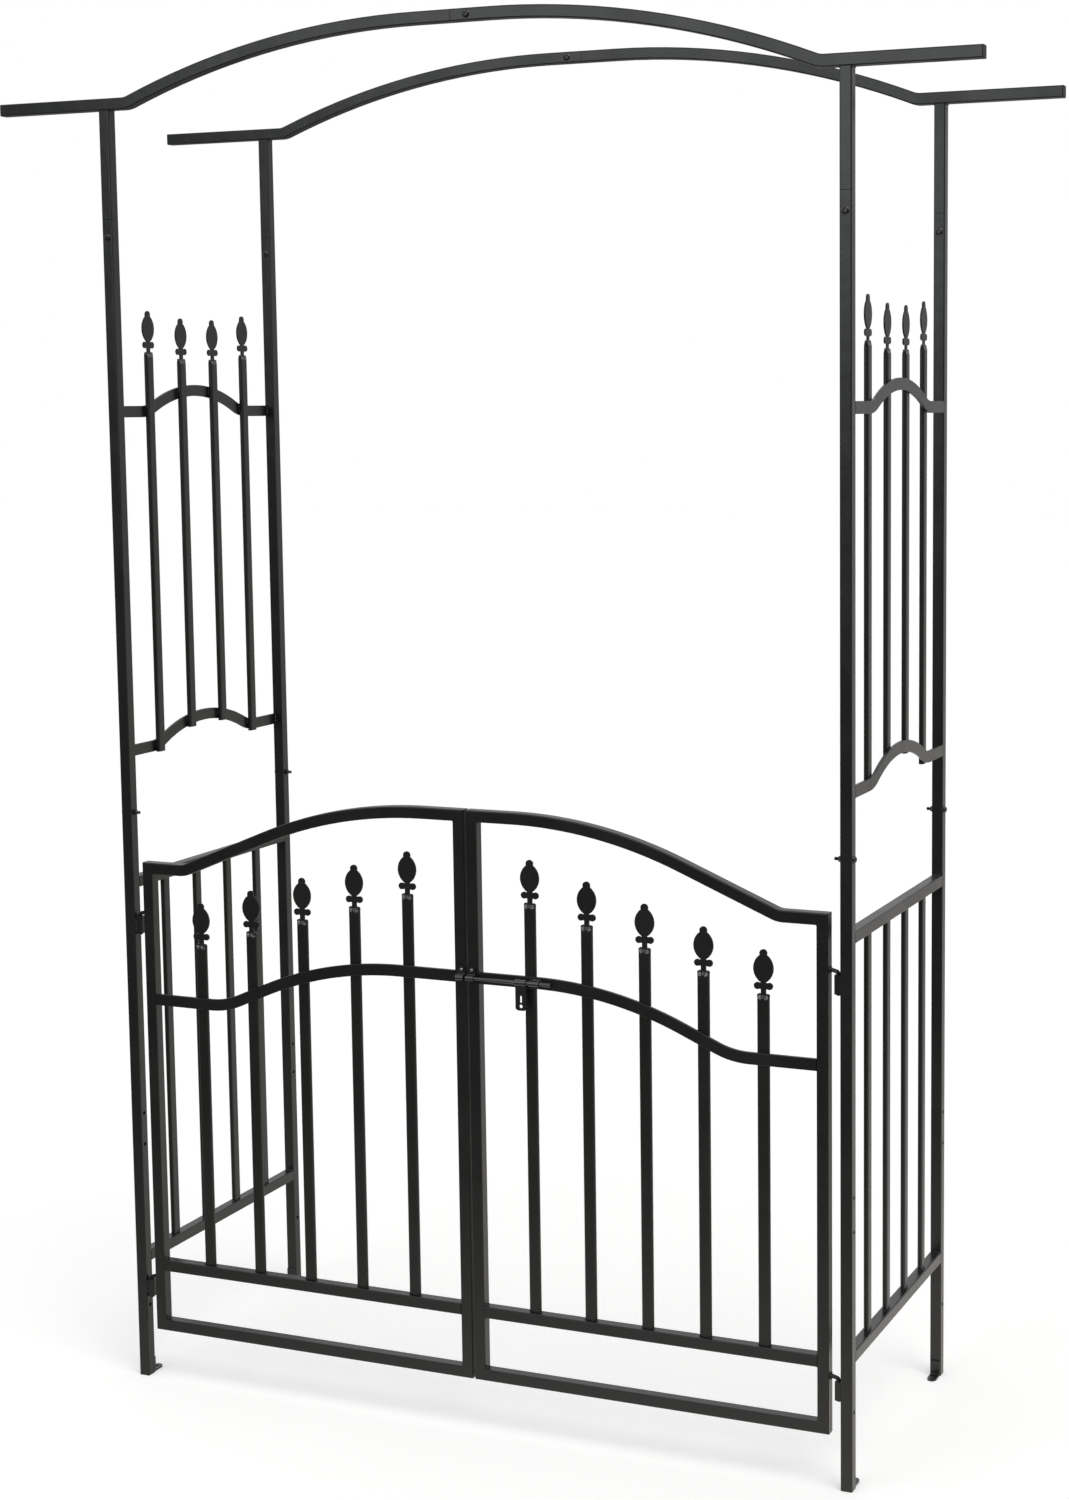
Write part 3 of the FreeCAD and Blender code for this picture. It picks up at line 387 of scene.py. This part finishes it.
def curve_drop(distance, run, fall, straight, foot_radius):
    """How far a wave rail has dropped at a distance from the end of its crest."""
    radii = (run ** 2 + fall ** 2 - straight ** 2) / (2 * fall)
    angle = math.atan2(radii, straight) - math.atan2(radii - fall, run)
    crest = radii - foot_radius
    if distance <= 0:
        return 0.0
    if distance >= run:
        return fall
    if distance < crest * math.sin(angle):
        return crest - math.sqrt(crest ** 2 - distance ** 2)
    if distance > run - foot_radius * math.sin(angle):
        return fall - foot_radius + math.sqrt(foot_radius ** 2 - (run - distance) ** 2)
    start = crest * math.sin(angle)
    return crest * (1 - math.cos(angle)) + (distance - start) * math.tan(angle)


def side_wave_z(level, y):
    """Centre height of a side wave rail."""
    return level + SIDE_WAVE_RISE - curve_drop(abs(y), SIDE_WAVE_RUN, SIDE_WAVE_RISE, 0,
                                               SIDE_WAVE_FOOT_RADIUS)


def gate_wave_z(x):
    """Centre height of a gate's wave rail."""
    start, end = GATE_WAVE_CURVE
    return GATE_WAVE_CROWN_Z - curve_drop(x - start, end - start, GATE_WAVE_FALL,
                                          GATE_WAVE_STRAIGHT, GATE_WAVE_FOOT_RADIUS)


def side_panel_welds(shape, side):
    """Welds of the rails, wave rails and pickets of one side panel."""
    x = side * POST_X
    inner = side * BAR_INNER_X
    for end in (-RAIL_END_Y, RAIL_END_Y):
        for centre in SIDE_RAIL_HEIGHTS:
            for z in (centre - HALF_TUBE, centre + HALF_TUBE):
                weld(shape, [(x - TUBE_REACH, end, z), (x + TUBE_REACH, end, z)], RAIL_WELD)
        for level in SIDE_WAVE_HEIGHTS:
            weld(shape, [(inner, end, level - BAR_REACH), (inner, end, level + BAR_REACH)],
                 TUBE_WELD)
    for y in SIDE_PICKETS_Y:
        for edge in (y - PICKET_END_OFFSET, y + PICKET_END_OFFSET):
            for z in (SIDE_RAIL_HEIGHTS[0] + HALF_TUBE, SIDE_RAIL_HEIGHTS[1] - HALF_TUBE):
                weld(shape, [(x - OVAL_REACH, edge, z), (x + OVAL_REACH, edge, z)], PICKET_WELD)
        for edge in (y - PICKET_FLAT_OFFSET, y + PICKET_FLAT_OFFSET):
            for level in SIDE_WAVE_HEIGHTS:
                z = side_wave_z(level, edge)
                low = z - CROSSING_REACH
                # The picket's rounded foot leaves less room on the lower wave rail
                if level == SIDE_WAVE_HEIGHTS[0]:
                    low = z - CROSSING_REACH / 2
                weld(shape, [(inner, edge, low), (inner, edge, z + CROSSING_REACH)], CROSSING_WELD)


def frame_welds():
    """Every weld on the arch frame."""
    shape = bmesh.new()
    for side in (-1, 1):
        side_panel_welds(shape, side)
        x = side * POST_X
        for end in (-1, 1):
            y = end * POST_Y
            for edge in (x - HALF_TUBE, x + HALF_TUBE):
                weld(shape, [(edge, y - TUBE_REACH, ARM_UNDERSIDE_Z),
                             (edge, y + TUBE_REACH, ARM_UNDERSIDE_Z)], TUBE_WELD)
            foot = end * RAIL_END_Y
            weld(shape, [(x - FOOT_REACH, foot, FOOT_STRAP_TOP),
                         (x + FOOT_REACH, foot, FOOT_STRAP_TOP)], THIN_WELD)
        post_face = side * SOCKET_POST_X
        for low, high in SOCKET_SPANS:
            for edge in (GATE_Y - SOCKET_OFFSET, GATE_Y + SOCKET_OFFSET):
                weld(shape, [(post_face, edge, low + SOCKET_INSET),
                             (post_face, edge, high - SOCKET_INSET)], THIN_WELD)
    made_piece("frame_welds", shape, weld_coat, "frame")


def leaf_welds(side, side_name):
    """Every weld on one leaf of the gate."""
    shape = bmesh.new()

    def level_weld(x, z, reach, radius):
        """A bead from front to back, on the top or the underside of a rail."""
        weld(shape, [(side * x, GATE_Y - reach, z), (side * x, GATE_Y + reach, z)], radius)

    def upright_weld(x, z, reach, radius):
        """An upright bead, behind the wave rail."""
        weld(shape, [(side * x, GATE_BAR_BACK_Y, z - reach),
                     (side * x, GATE_BAR_BACK_Y, z + reach)], radius)

    for x, underside in zip(STILE_FACES_X, TOP_RAIL_UNDERSIDES):
        for z in (BOTTOM_RAIL_TOP, underside, *LOWER_RAIL):
            level_weld(x, z, TUBE_REACH, TUBE_WELD)
        upright_weld(x, gate_wave_z(x), BAR_REACH, TUBE_WELD)
    for x in GATE_PICKETS_X:
        for edge in (x - PICKET_END_OFFSET, x + PICKET_END_OFFSET):
            level_weld(edge, LOWER_RAIL[1], OVAL_REACH, PICKET_WELD)
        for edge in (x - PICKET_FLAT_OFFSET, x + PICKET_FLAT_OFFSET):
            upright_weld(edge, gate_wave_z(edge), CROSSING_REACH, CROSSING_WELD)
    for root in HOOK_ROOTS:
        ring = [(side * LEAF_OUTER_X, GATE_Y + HOOK_RING[0] * math.cos(turn),
                 root + HOOK_RING[1] * math.sin(turn)) for turn in turns(HOOK_RING_CORNERS)[:-1]]
        weld(shape, ring, HOOK_WELD)
    made_piece(f"gate_welds_{side_name}", shape, weld_coat, f"{side_name}_leaf")


# Pickets, pinched around their finials

PICKET_WIDTH = 19.0
PICKET_THICKNESS = 8.0
PICKET_CREASE = 28
STRAIGHT_BELOW_PINCH = 4.0
LEAST_HALF_THICKNESS = 0.05

# The pinch, which spreads the top between two depths below it
PINCH_WIDTH = 19.8
PINCH_TAPER = 8.2
PINCH_STEPS = 18
PINCH_SPREAD = (2.5, 7.0)

# The two dents of the crimping tool, and the swelling between and beside them
CRIMP_BELOW_TOP = 2.4
CRIMP_THICKNESS = 3.4
TANG_SWELL = 1.5
DENT_PLACE = 4.7
DENT_SIDES = (1.9, 3.9)
# Upward tilts of the dent faces that get the lighter coat, a painted highlight
PAINTED_HIGHLIGHT_SLOPES = (0.2, 0.6)

# The lip above the dents: its round corners, the dip in its middle and its lean
LIP_THICKNESS = 4.3
LIP_EDGE = 0.35
LIP_CORNER = 3.4
SADDLE_DEPTH = 0.7
SADDLE_SIDES = (3.2, 5.6)
LEAN_ARM = 10.0
GATE_LEANS = (0.25, 0.05, 0.35, 0.15, 0.3)
SIDE_LEANS = (0.1, 0.3, 0.2, 0.35)

# Where a picket's outline has its corners, as parts of its half width
PICKET_STATIONS = (0.0, 0.07, 0.14, 0.21, 0.28, 0.35, 0.42, 0.50, 0.58, 0.66, 0.74, 0.82, 0.90,
                   0.96, 0.993)


def oval_half(x, width, thickness):
    """Half thickness of a flat oval at a distance from its middle."""
    beyond = max(0.0, abs(x) - (width - thickness) / 2)
    return math.sqrt(max(0.0, (thickness / 2) ** 2 - beyond ** 2))


def eased_step(value, low, high):
    """0 below low and 1 above high, with a smooth step between."""
    part = min(1.0, max(0.0, (value - low) / (high - low)))
    return part * part * (3 - 2 * part)


def crimp(x, below_top):
    """Thickness left by the two flat dents of the crimping tool, which grip the tang."""
    if below_top >= CRIMP_BELOW_TOP:
        part = (below_top - CRIMP_BELOW_TOP) / (PINCH_TAPER - CRIMP_BELOW_TOP)
        dented = CRIMP_THICKNESS + (PICKET_THICKNESS - CRIMP_THICKNESS) * part
    else:
        part = 1 - below_top / CRIMP_BELOW_TOP
        dented = CRIMP_THICKNESS + (LIP_THICKNESS - CRIMP_THICKNESS) * part
    aside = eased_step(abs(abs(x) - DENT_PLACE), *DENT_SIDES)
    return dented + TANG_SWELL * aside * min(1.0, below_top / CRIMP_BELOW_TOP)


def lip_fall(x, lean):
    """How far the lip's top edge lies below the tallest corner."""
    outward = max(0.0, abs(x) - (PINCH_WIDTH / 2 - LIP_CORNER))
    corner = LIP_CORNER - math.sqrt(max(0.0, LIP_CORNER ** 2 - outward ** 2))
    saddle = SADDLE_DEPTH * (1 - eased_step(abs(x), *SADDLE_SIDES))
    return corner + saddle + lean * (1 + x / LEAN_ARM)


def pinched_picket(shape, placed, height, lean):
    """Closed flat-oval picket; placed turns its own width, depth and height into a place."""
    stations = [-part for part in reversed(PICKET_STATIONS[1:])] + list(PICKET_STATIONS)
    shoulder = height - PINCH_TAPER
    levels = [0.0, shoulder - STRAIGHT_BELOW_PINCH]
    levels += [shoulder + (PINCH_TAPER - LIP_EDGE) * step / PINCH_STEPS
               for step in range(PINCH_STEPS + 1)]
    rows = [picket_row(stations, height, level, lean, 0.0) for level in levels]
    rows.append(picket_row(stations, height, height, lean, LIP_EDGE))
    rows = skin(shape, [[placed(*corner) for corner in row] for row in rows])
    shape.faces.new(rows[0][::-1])
    top = rows[-1]
    count = len(stations)
    for front in range(count - 1):
        back = 2 * count - 1 - front
        shape.faces.new((top[front], top[front + 1], top[back - 1], top[back]))


def picket_row(stations, height, level, lean, inset):
    """One ring round a picket at a level, front face first."""
    below_top = height - level
    spread = 1 - eased_step(below_top, *PINCH_SPREAD)
    width = PICKET_WIDTH + (PINCH_WIDTH - PICKET_WIDTH) * spread
    near_top = max(0.0, 1 - below_top / PINCH_TAPER)
    front = []
    for station in stations:
        x = station * width / 2
        thickness = min(PICKET_THICKNESS, crimp(x, below_top))
        half = oval_half(x, width, thickness)
        z = level - lip_fall(x, lean) * near_top
        x -= math.copysign(min(inset, abs(x)), x)
        front.append((x, -max(half - inset, LEAST_HALF_THICKNESS), z))
    return front + [(x, -y, z) for x, y, z in reversed(front)]


def painted_highlight_dents(piece):
    """Gives the upward slopes of the dents a lighter, glossier coat: its lighter colour is a
    painted highlight, its gloss is real.
    """
    piece.data.materials.append(dent_painted_highlight_coat)
    for face in piece.data.polygons:
        if PAINTED_HIGHLIGHT_SLOPES[0] < face.normal.z < PAINTED_HIGHLIGHT_SLOPES[1]:
            face.material_index = 1


def gate_pickets(side, side_name):
    """The five pickets of a leaf, which grow towards the middle."""
    shape = bmesh.new()
    y = GATE_BAR_BACK_Y + PICKET_THICKNESS / 2
    base = LOWER_RAIL[1]
    for x, top, lean in zip(GATE_PICKETS_X, GATE_PICKET_TOPS, GATE_LEANS):
        pinched_picket(shape, lambda across, depth, z: mm(side * x + across, y + depth, base + z),
                       top - base, lean)
    piece = made_piece(f"pinched_gate_pickets_{side_name}", shape, picket_coat,
                       f"{side_name}_leaf", PICKET_CREASE)
    painted_highlight_dents(piece)
    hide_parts(f"gate_pickets_{side_name}")


def side_pickets(side, side_name):
    """The four upper pickets of a side panel, on the passage side of its wave rails."""
    shape = bmesh.new()
    x = side * POST_X
    for y, top, lean in zip(SIDE_PICKETS_Y, SIDE_PICKET_TOPS, SIDE_LEANS):
        base = side_wave_z(SIDE_WAVE_HEIGHTS[0], y) - SIDE_PICKET_OVERHANG
        pinched_picket(shape, lambda across, depth, z: mm(x - depth, y + across, base + z),
                       top - base, lean)
    piece = made_piece(f"pinched_side_pickets_{side_name}", shape, picket_coat,
                       "frame", PICKET_CREASE)
    painted_highlight_dents(piece)
    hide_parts(f"side_upper_pickets_{side_name}")


# Screws and bolts

SCREW_SIDES = 36
DOME_STEPS = 7
RIM_HEIGHT = 0.25
RIM_ROUND = 0.15
THREAD_ROOT = 0.86
THREAD_TIP = 0.8


def turned_screw(shape, seat, direction, profile, socket):
    """Closed screw from its recess over its head to its tip.

    The profile is depths and radii. The socket is the depths of its floor and mouth and its
    half width, or None.
    """
    direction = Vector(direction)
    across = direction.orthogonal().normalized()
    upward = direction.cross(across)

    def ring(depth, radius, reach):
        """Ring of corners round the screw's axis."""
        return [(seat + direction * depth + (across * math.cos(turn) + upward * math.sin(turn))
                 * radius * reach(turn)) * MM for turn in turns(SCREW_SIDES)]

    rings = []
    if socket:
        floor, mouth, half_width = socket
        rings = [ring(depth, half_width, hexagon_reach) for depth in (floor, mouth)]
    rings += [ring(depth, radius, lambda turn: 1) for depth, radius in profile]
    capped(shape, rings)


def hexagon_reach(turn):
    """How far a hexagon of unit inner radius reaches in a direction."""
    return 1 / math.cos(turn % (math.pi / 3) - math.pi / 6)


def dome(head_radius, head_height, start):
    """Depths and radii over a domed head, from a starting radius to its rim."""
    sphere = (head_radius ** 2 + head_height ** 2) / (2 * head_height)
    span = head_radius - RIM_HEIGHT - start
    reach = [start + span * part / DOME_STEPS for part in range(DOME_STEPS + 1)]
    profile = [(sphere - head_height - math.sqrt(sphere ** 2 - radius ** 2), radius)
               for radius in reach]
    return profile + [(-RIM_HEIGHT, head_radius), (0.0, head_radius - RIM_ROUND)]


def thread(radius, start, end, pitch):
    """Depths and radii over the ridges of a thread, down to the screw's tip."""
    ridges = []
    count = int((end - start) / pitch)
    for index in range(count):
        near = start + index * pitch
        ridges += [(near, radius * THREAD_ROOT), (near + pitch / 2, radius)]
    return ridges + [(end, radius * THREAD_TIP)]


def arch_screws():
    """Socket-headed screws in the arch legs and beside the crown splices."""
    shape = bmesh.new()
    seats = [Vector((side * POST_X, end * POST_Y - HALF_TUBE, LEG_SCREW_Z))
             for side in (-1, 1) for end in (-1, 1)]
    seats += [Vector((-end * SPLICE_SCREW_X, end * POST_Y - HALF_TUBE, CROWN_Z))
              for end in (-1, 1)]
    shank = 2.25
    profile = dome(head_radius=6.0, head_height=2.8, start=2.3) + [(0.0, shank)]
    profile += thread(shank, start=1.0, end=9.0, pitch=0.8)
    floor, mouth, half_width = -0.9, profile[0][0] + 0.12, 1.8
    for seat in seats:
        turned_screw(shape, seat, (0, 1, 0), profile, (floor, mouth, half_width))
    piece = made_piece("socket_screws", shape, black_bolt, "frame")
    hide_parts("arch_screws")


def joint_bolts():
    """Smooth round-headed bolts through the post joints, with their thread inside the passage."""
    shape = bmesh.new()
    shank = 2.5
    profile = dome(head_radius=6.0, head_height=4.4, start=0.5) + [(0.0, shank), (21.0, shank)]
    profile += thread(shank, start=21.2, end=28.5, pitch=0.8)
    for side in (-1, 1):
        for end in (-1, 1):
            seat = Vector((side * (POST_X + HALF_TUBE), end * POST_Y, JOINT_BOLT_Z))
            turned_screw(shape, seat, (-side, 0, 0), profile, None)
    piece = made_piece("round_headed_bolts", shape, black_bolt, "frame")
    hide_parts("joint_bolts")


def clip_screw(side, name, body, node):
    """Blackened zinc screw that holds a latch clip on a centre stile."""
    shape = bmesh.new()
    shank = 1.75
    profile = dome(head_radius=2.9, head_height=2.0, start=1.25) + [(0.0, shank)]
    profile += thread(shank, start=0.8, end=7.0, pitch=0.7)
    floor, mouth, half_width = -0.7, profile[0][0] + 0.08, 1.05
    seat = Vector((side * CLIP_SCREW_X, CLIP_FRONT_Y, CLIP_SCREW_Z))
    turned_screw(shape, seat, (0, 1, 0), profile, (floor, mouth, half_width))
    piece = made_piece(name, shape, zinc, body)
    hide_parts(node)


PARKING_WELD = 1.7
PARKING_UNEVENNESS = 0.28
PARKING_BEAD_OFFSET = 4.6
PARKING_BEAD_INSET = 0.6
PARKING_END_REACH = 3.6
PARKING_END_LIFT = 0.4


def parking_clip_welds():
    """Uneven beads above, below and beside the parking clip, which fix it to the wave rail."""
    shape = bmesh.new()
    low, high = PARKING_CLIP_X
    for z in (GATE_WAVE_CROWN_Z - PARKING_BEAD_OFFSET, GATE_WAVE_CROWN_Z + PARKING_BEAD_OFFSET):
        weld(shape, [(low + PARKING_BEAD_INSET, GATE_FRONT_Y, z),
                     (high - PARKING_BEAD_INSET, GATE_FRONT_Y, z)],
             PARKING_WELD, PARKING_UNEVENNESS)
    y = GATE_FRONT_Y - PARKING_END_LIFT
    for x in PARKING_CLIP_X:
        weld(shape, [(x, y, GATE_WAVE_CROWN_Z - PARKING_END_REACH),
                     (x, y, GATE_WAVE_CROWN_Z + PARKING_END_REACH)],
             PICKET_WELD, PARKING_UNEVENNESS)
    made_piece("parking_clip_welds", shape, latch_coat, "right_leaf")


# Camera, as solved from the photograph

FRAME_WIDTH = 1069
FRAME_HEIGHT = 1500
CAMERA_PLACE = Vector((1.6643, -3.3950, 1.5572))
CAMERA_YAW = 0.375
CAMERA_PITCH = -0.107
CAMERA_ROLL = -0.006
FOCAL_PIXELS = 2411.95
CENTRE_PIXEL = (725.15, 665.76)
SENSOR = 36.0
NEAREST = 0.05
FURTHEST = 200


def photo_camera():
    """The camera at the photograph's place, with its off-centre framing as shift."""
    level = Vector((-math.sin(CAMERA_YAW), math.cos(CAMERA_YAW), 0))
    right = Vector((math.cos(CAMERA_YAW), math.sin(CAMERA_YAW), 0))
    ahead = level * math.cos(CAMERA_PITCH) + Vector((0, 0, math.sin(CAMERA_PITCH)))
    up = right.cross(ahead)
    rolled_right = right * math.cos(CAMERA_ROLL) + up * math.sin(CAMERA_ROLL)
    rolled_up = up * math.cos(CAMERA_ROLL) - right * math.sin(CAMERA_ROLL)
    lens = bpy.data.cameras.new("photo_camera")
    lens.sensor_width = SENSOR
    lens.lens = FOCAL_PIXELS * SENSOR / FRAME_HEIGHT
    lens.shift_x = (FRAME_WIDTH / 2 - CENTRE_PIXEL[0]) / FRAME_HEIGHT
    lens.shift_y = (CENTRE_PIXEL[1] - FRAME_HEIGHT / 2) / FRAME_HEIGHT
    lens.clip_start = NEAREST
    lens.clip_end = FURTHEST
    camera = bpy.data.objects.new("photo_camera", lens)
    turn = Matrix((rolled_right, rolled_up, -ahead)).transposed().to_4x4()
    camera.matrix_world = Matrix.Translation(CAMERA_PLACE) @ turn
    bpy.context.scene.collection.objects.link(camera)
    bpy.context.scene.camera = camera


# Studio

FLOOR_SIZE = 60.0
FLOOR_PAINT = (0.80, 0.80, 0.80, 1)
FLOOR_LIFT = 0.34
FLOOR_SHEEN = (1.0, 0.97, 0.93, 1)
WHITE = (1, 1, 1, 1)
AMBIENT = 0.60


def white_floor():
    """Large white floor that meets the white background and keeps the soft shadow."""
    mesh = bpy.data.meshes.new("studio_floor")
    shape = bmesh.new()
    bmesh.ops.create_grid(shape, x_segments=8, y_segments=8, size=FLOOR_SIZE / 2)
    shape.to_mesh(mesh)
    shape.free()
    floor = bpy.data.objects.new("studio_floor", mesh)
    bpy.context.scene.collection.objects.link(floor)
    material = bpy.data.materials.new("studio_floor_paint")
    shader = Shader(material)
    rays = shader.kept_node("LightPath")
    seen = Level(shader, rays.outputs["Is Camera Ray"])
    mirrored = Level(shader, rays.outputs["Is Glossy Ray"])
    place = shader.node("TexCoord", output="Object")
    parts = shader.kept_node("SeparateXYZ", {}, {"Vector": place})
    across = Level(shader, parts.outputs[0])
    depth = Level(shader, parts.outputs[1])
    # Glossy parts mirror a floor that brightens towards the arch and its right, in metres
    to_the_right = shader.band(across, low=-1.3, high=0.4)
    near = shader.band(depth, low=-1.9, high=-0.15) * (0.40 + to_the_right * 0.60)
    far_behind = shader.band(depth, low=0.5, high=3.5)
    sheen_strength = 0.12 + near * 0.86 - far_behind * 0.30
    paint = shader.node("BsdfDiffuse", {}, {"Color": FLOOR_PAINT})
    lift = shader.node("Emission", {}, {"Color": WHITE, "Strength": FLOOR_LIFT})
    bright = shader.node("AddShader", {}, {0: paint, 1: lift})
    sheen = shader.node("Emission", {}, {"Color": FLOOR_SHEEN, "Strength": sheen_strength})
    shown = shader.node("MixShader", {}, {0: seen, 1: paint, 2: bright})
    shown = shader.node("MixShader", {}, {0: mirrored, 1: shown, 2: sheen})
    shader.node("OutputMaterial", {}, {"Surface": shown})
    mesh.materials.append(material)


def studio_world():
    """White background, with a white studio behind and beside the arch and a dim one in front."""
    world = bpy.data.worlds.new("studio")
    bpy.context.scene.world = world
    shader = Shader(world)
    rays = shader.kept_node("LightPath")
    seen = Level(shader, rays.outputs["Is Camera Ray"])
    mirrored = Level(shader, rays.outputs["Is Glossy Ray"])
    through = Level(shader, rays.outputs["Is Transmission Ray"])
    direction = shader.node("TexCoord", output="Generated")
    parts = shader.kept_node("SeparateXYZ", {}, {"Vector": direction})
    across = Level(shader, parts.outputs[0])
    depth = Level(shader, parts.outputs[1])
    height = Level(shader, parts.outputs[2])
    # Walls and ceiling are told apart by direction, whose parts run from -1 to 1
    front_wall = 0.02 + shader.band(across, low=-0.66, high=-0.26) * 0.22
    back_wall = 0.60 + shader.band(height, low=0.12, high=0.45) * 0.32
    ceiling = shader.band(height, low=0.42, high=0.80) * 0.85
    behind = shader.band(depth, low=-0.80, high=0.20)
    walls = front_wall + (back_wall - front_wall) * behind
    reflected = walls + (1 - walls) * ceiling
    strength = seen + (mirrored + through) * reflected + (1 - seen - mirrored - through) * AMBIENT
    sky = shader.node("Background", {}, {"Color": WHITE, "Strength": strength})
    shader.node("OutputWorld", {}, {"Surface": sky})


def lamp(name, place, strength, angle, colour):
    """A soft distant lamp that shines from place towards the middle of the arch."""
    light = bpy.data.lights.new(name, "SUN")
    light.energy = strength
    light.angle = math.radians(angle)
    light.color = colour
    hang(light, name, Vector(place), Vector(place))


def softbox(name, place, target, width, height, power, colour):
    """A wide soft panel that shines from place towards target."""
    light = bpy.data.lights.new(name, "AREA")
    light.shape = "RECTANGLE"
    light.size = width
    light.size_y = height
    light.energy = power
    light.color = colour
    hang(light, name, Vector(place), Vector(place) - Vector(target))


def hang(light, name, place, backwards):
    """Puts a light at a place, with its back towards a direction."""
    holder = bpy.data.objects.new(name, light)
    holder.location = place
    holder.rotation_mode = "QUATERNION"
    holder.rotation_quaternion = backwards.to_track_quat("Z", "Y")
    bpy.context.scene.collection.objects.link(holder)


photo_camera()
white_floor()
studio_world()
lamp("key_lamp", place=(2.6, -1.4, 4.2), strength=0.9, angle=35, colour=(1.0, 0.975, 0.94))
softbox("front_softbox", place=(-1.45, -5.0, 2.80), target=(-0.3, 0.0, 1.9), width=4.0,
        height=1.7, power=54, colour=(0.95, 0.98, 1.0))
finish_nodes()
frame_welds()
for side_name, side in (("left", -1), ("right", 1)):
    leaf_welds(side, side_name)
    gate_pickets(side, side_name)
    side_pickets(side, side_name)
arch_screws()
joint_bolts()
clip_screw(-1, "keeper_zinc_screw", "left_leaf", "latch_keeper_screw")
clip_screw(1, "guide_zinc_screw", "right_leaf", "latch_guide_screw")
parking_clip_welds()

bpy.context.scene.view_settings.view_transform = "Standard"
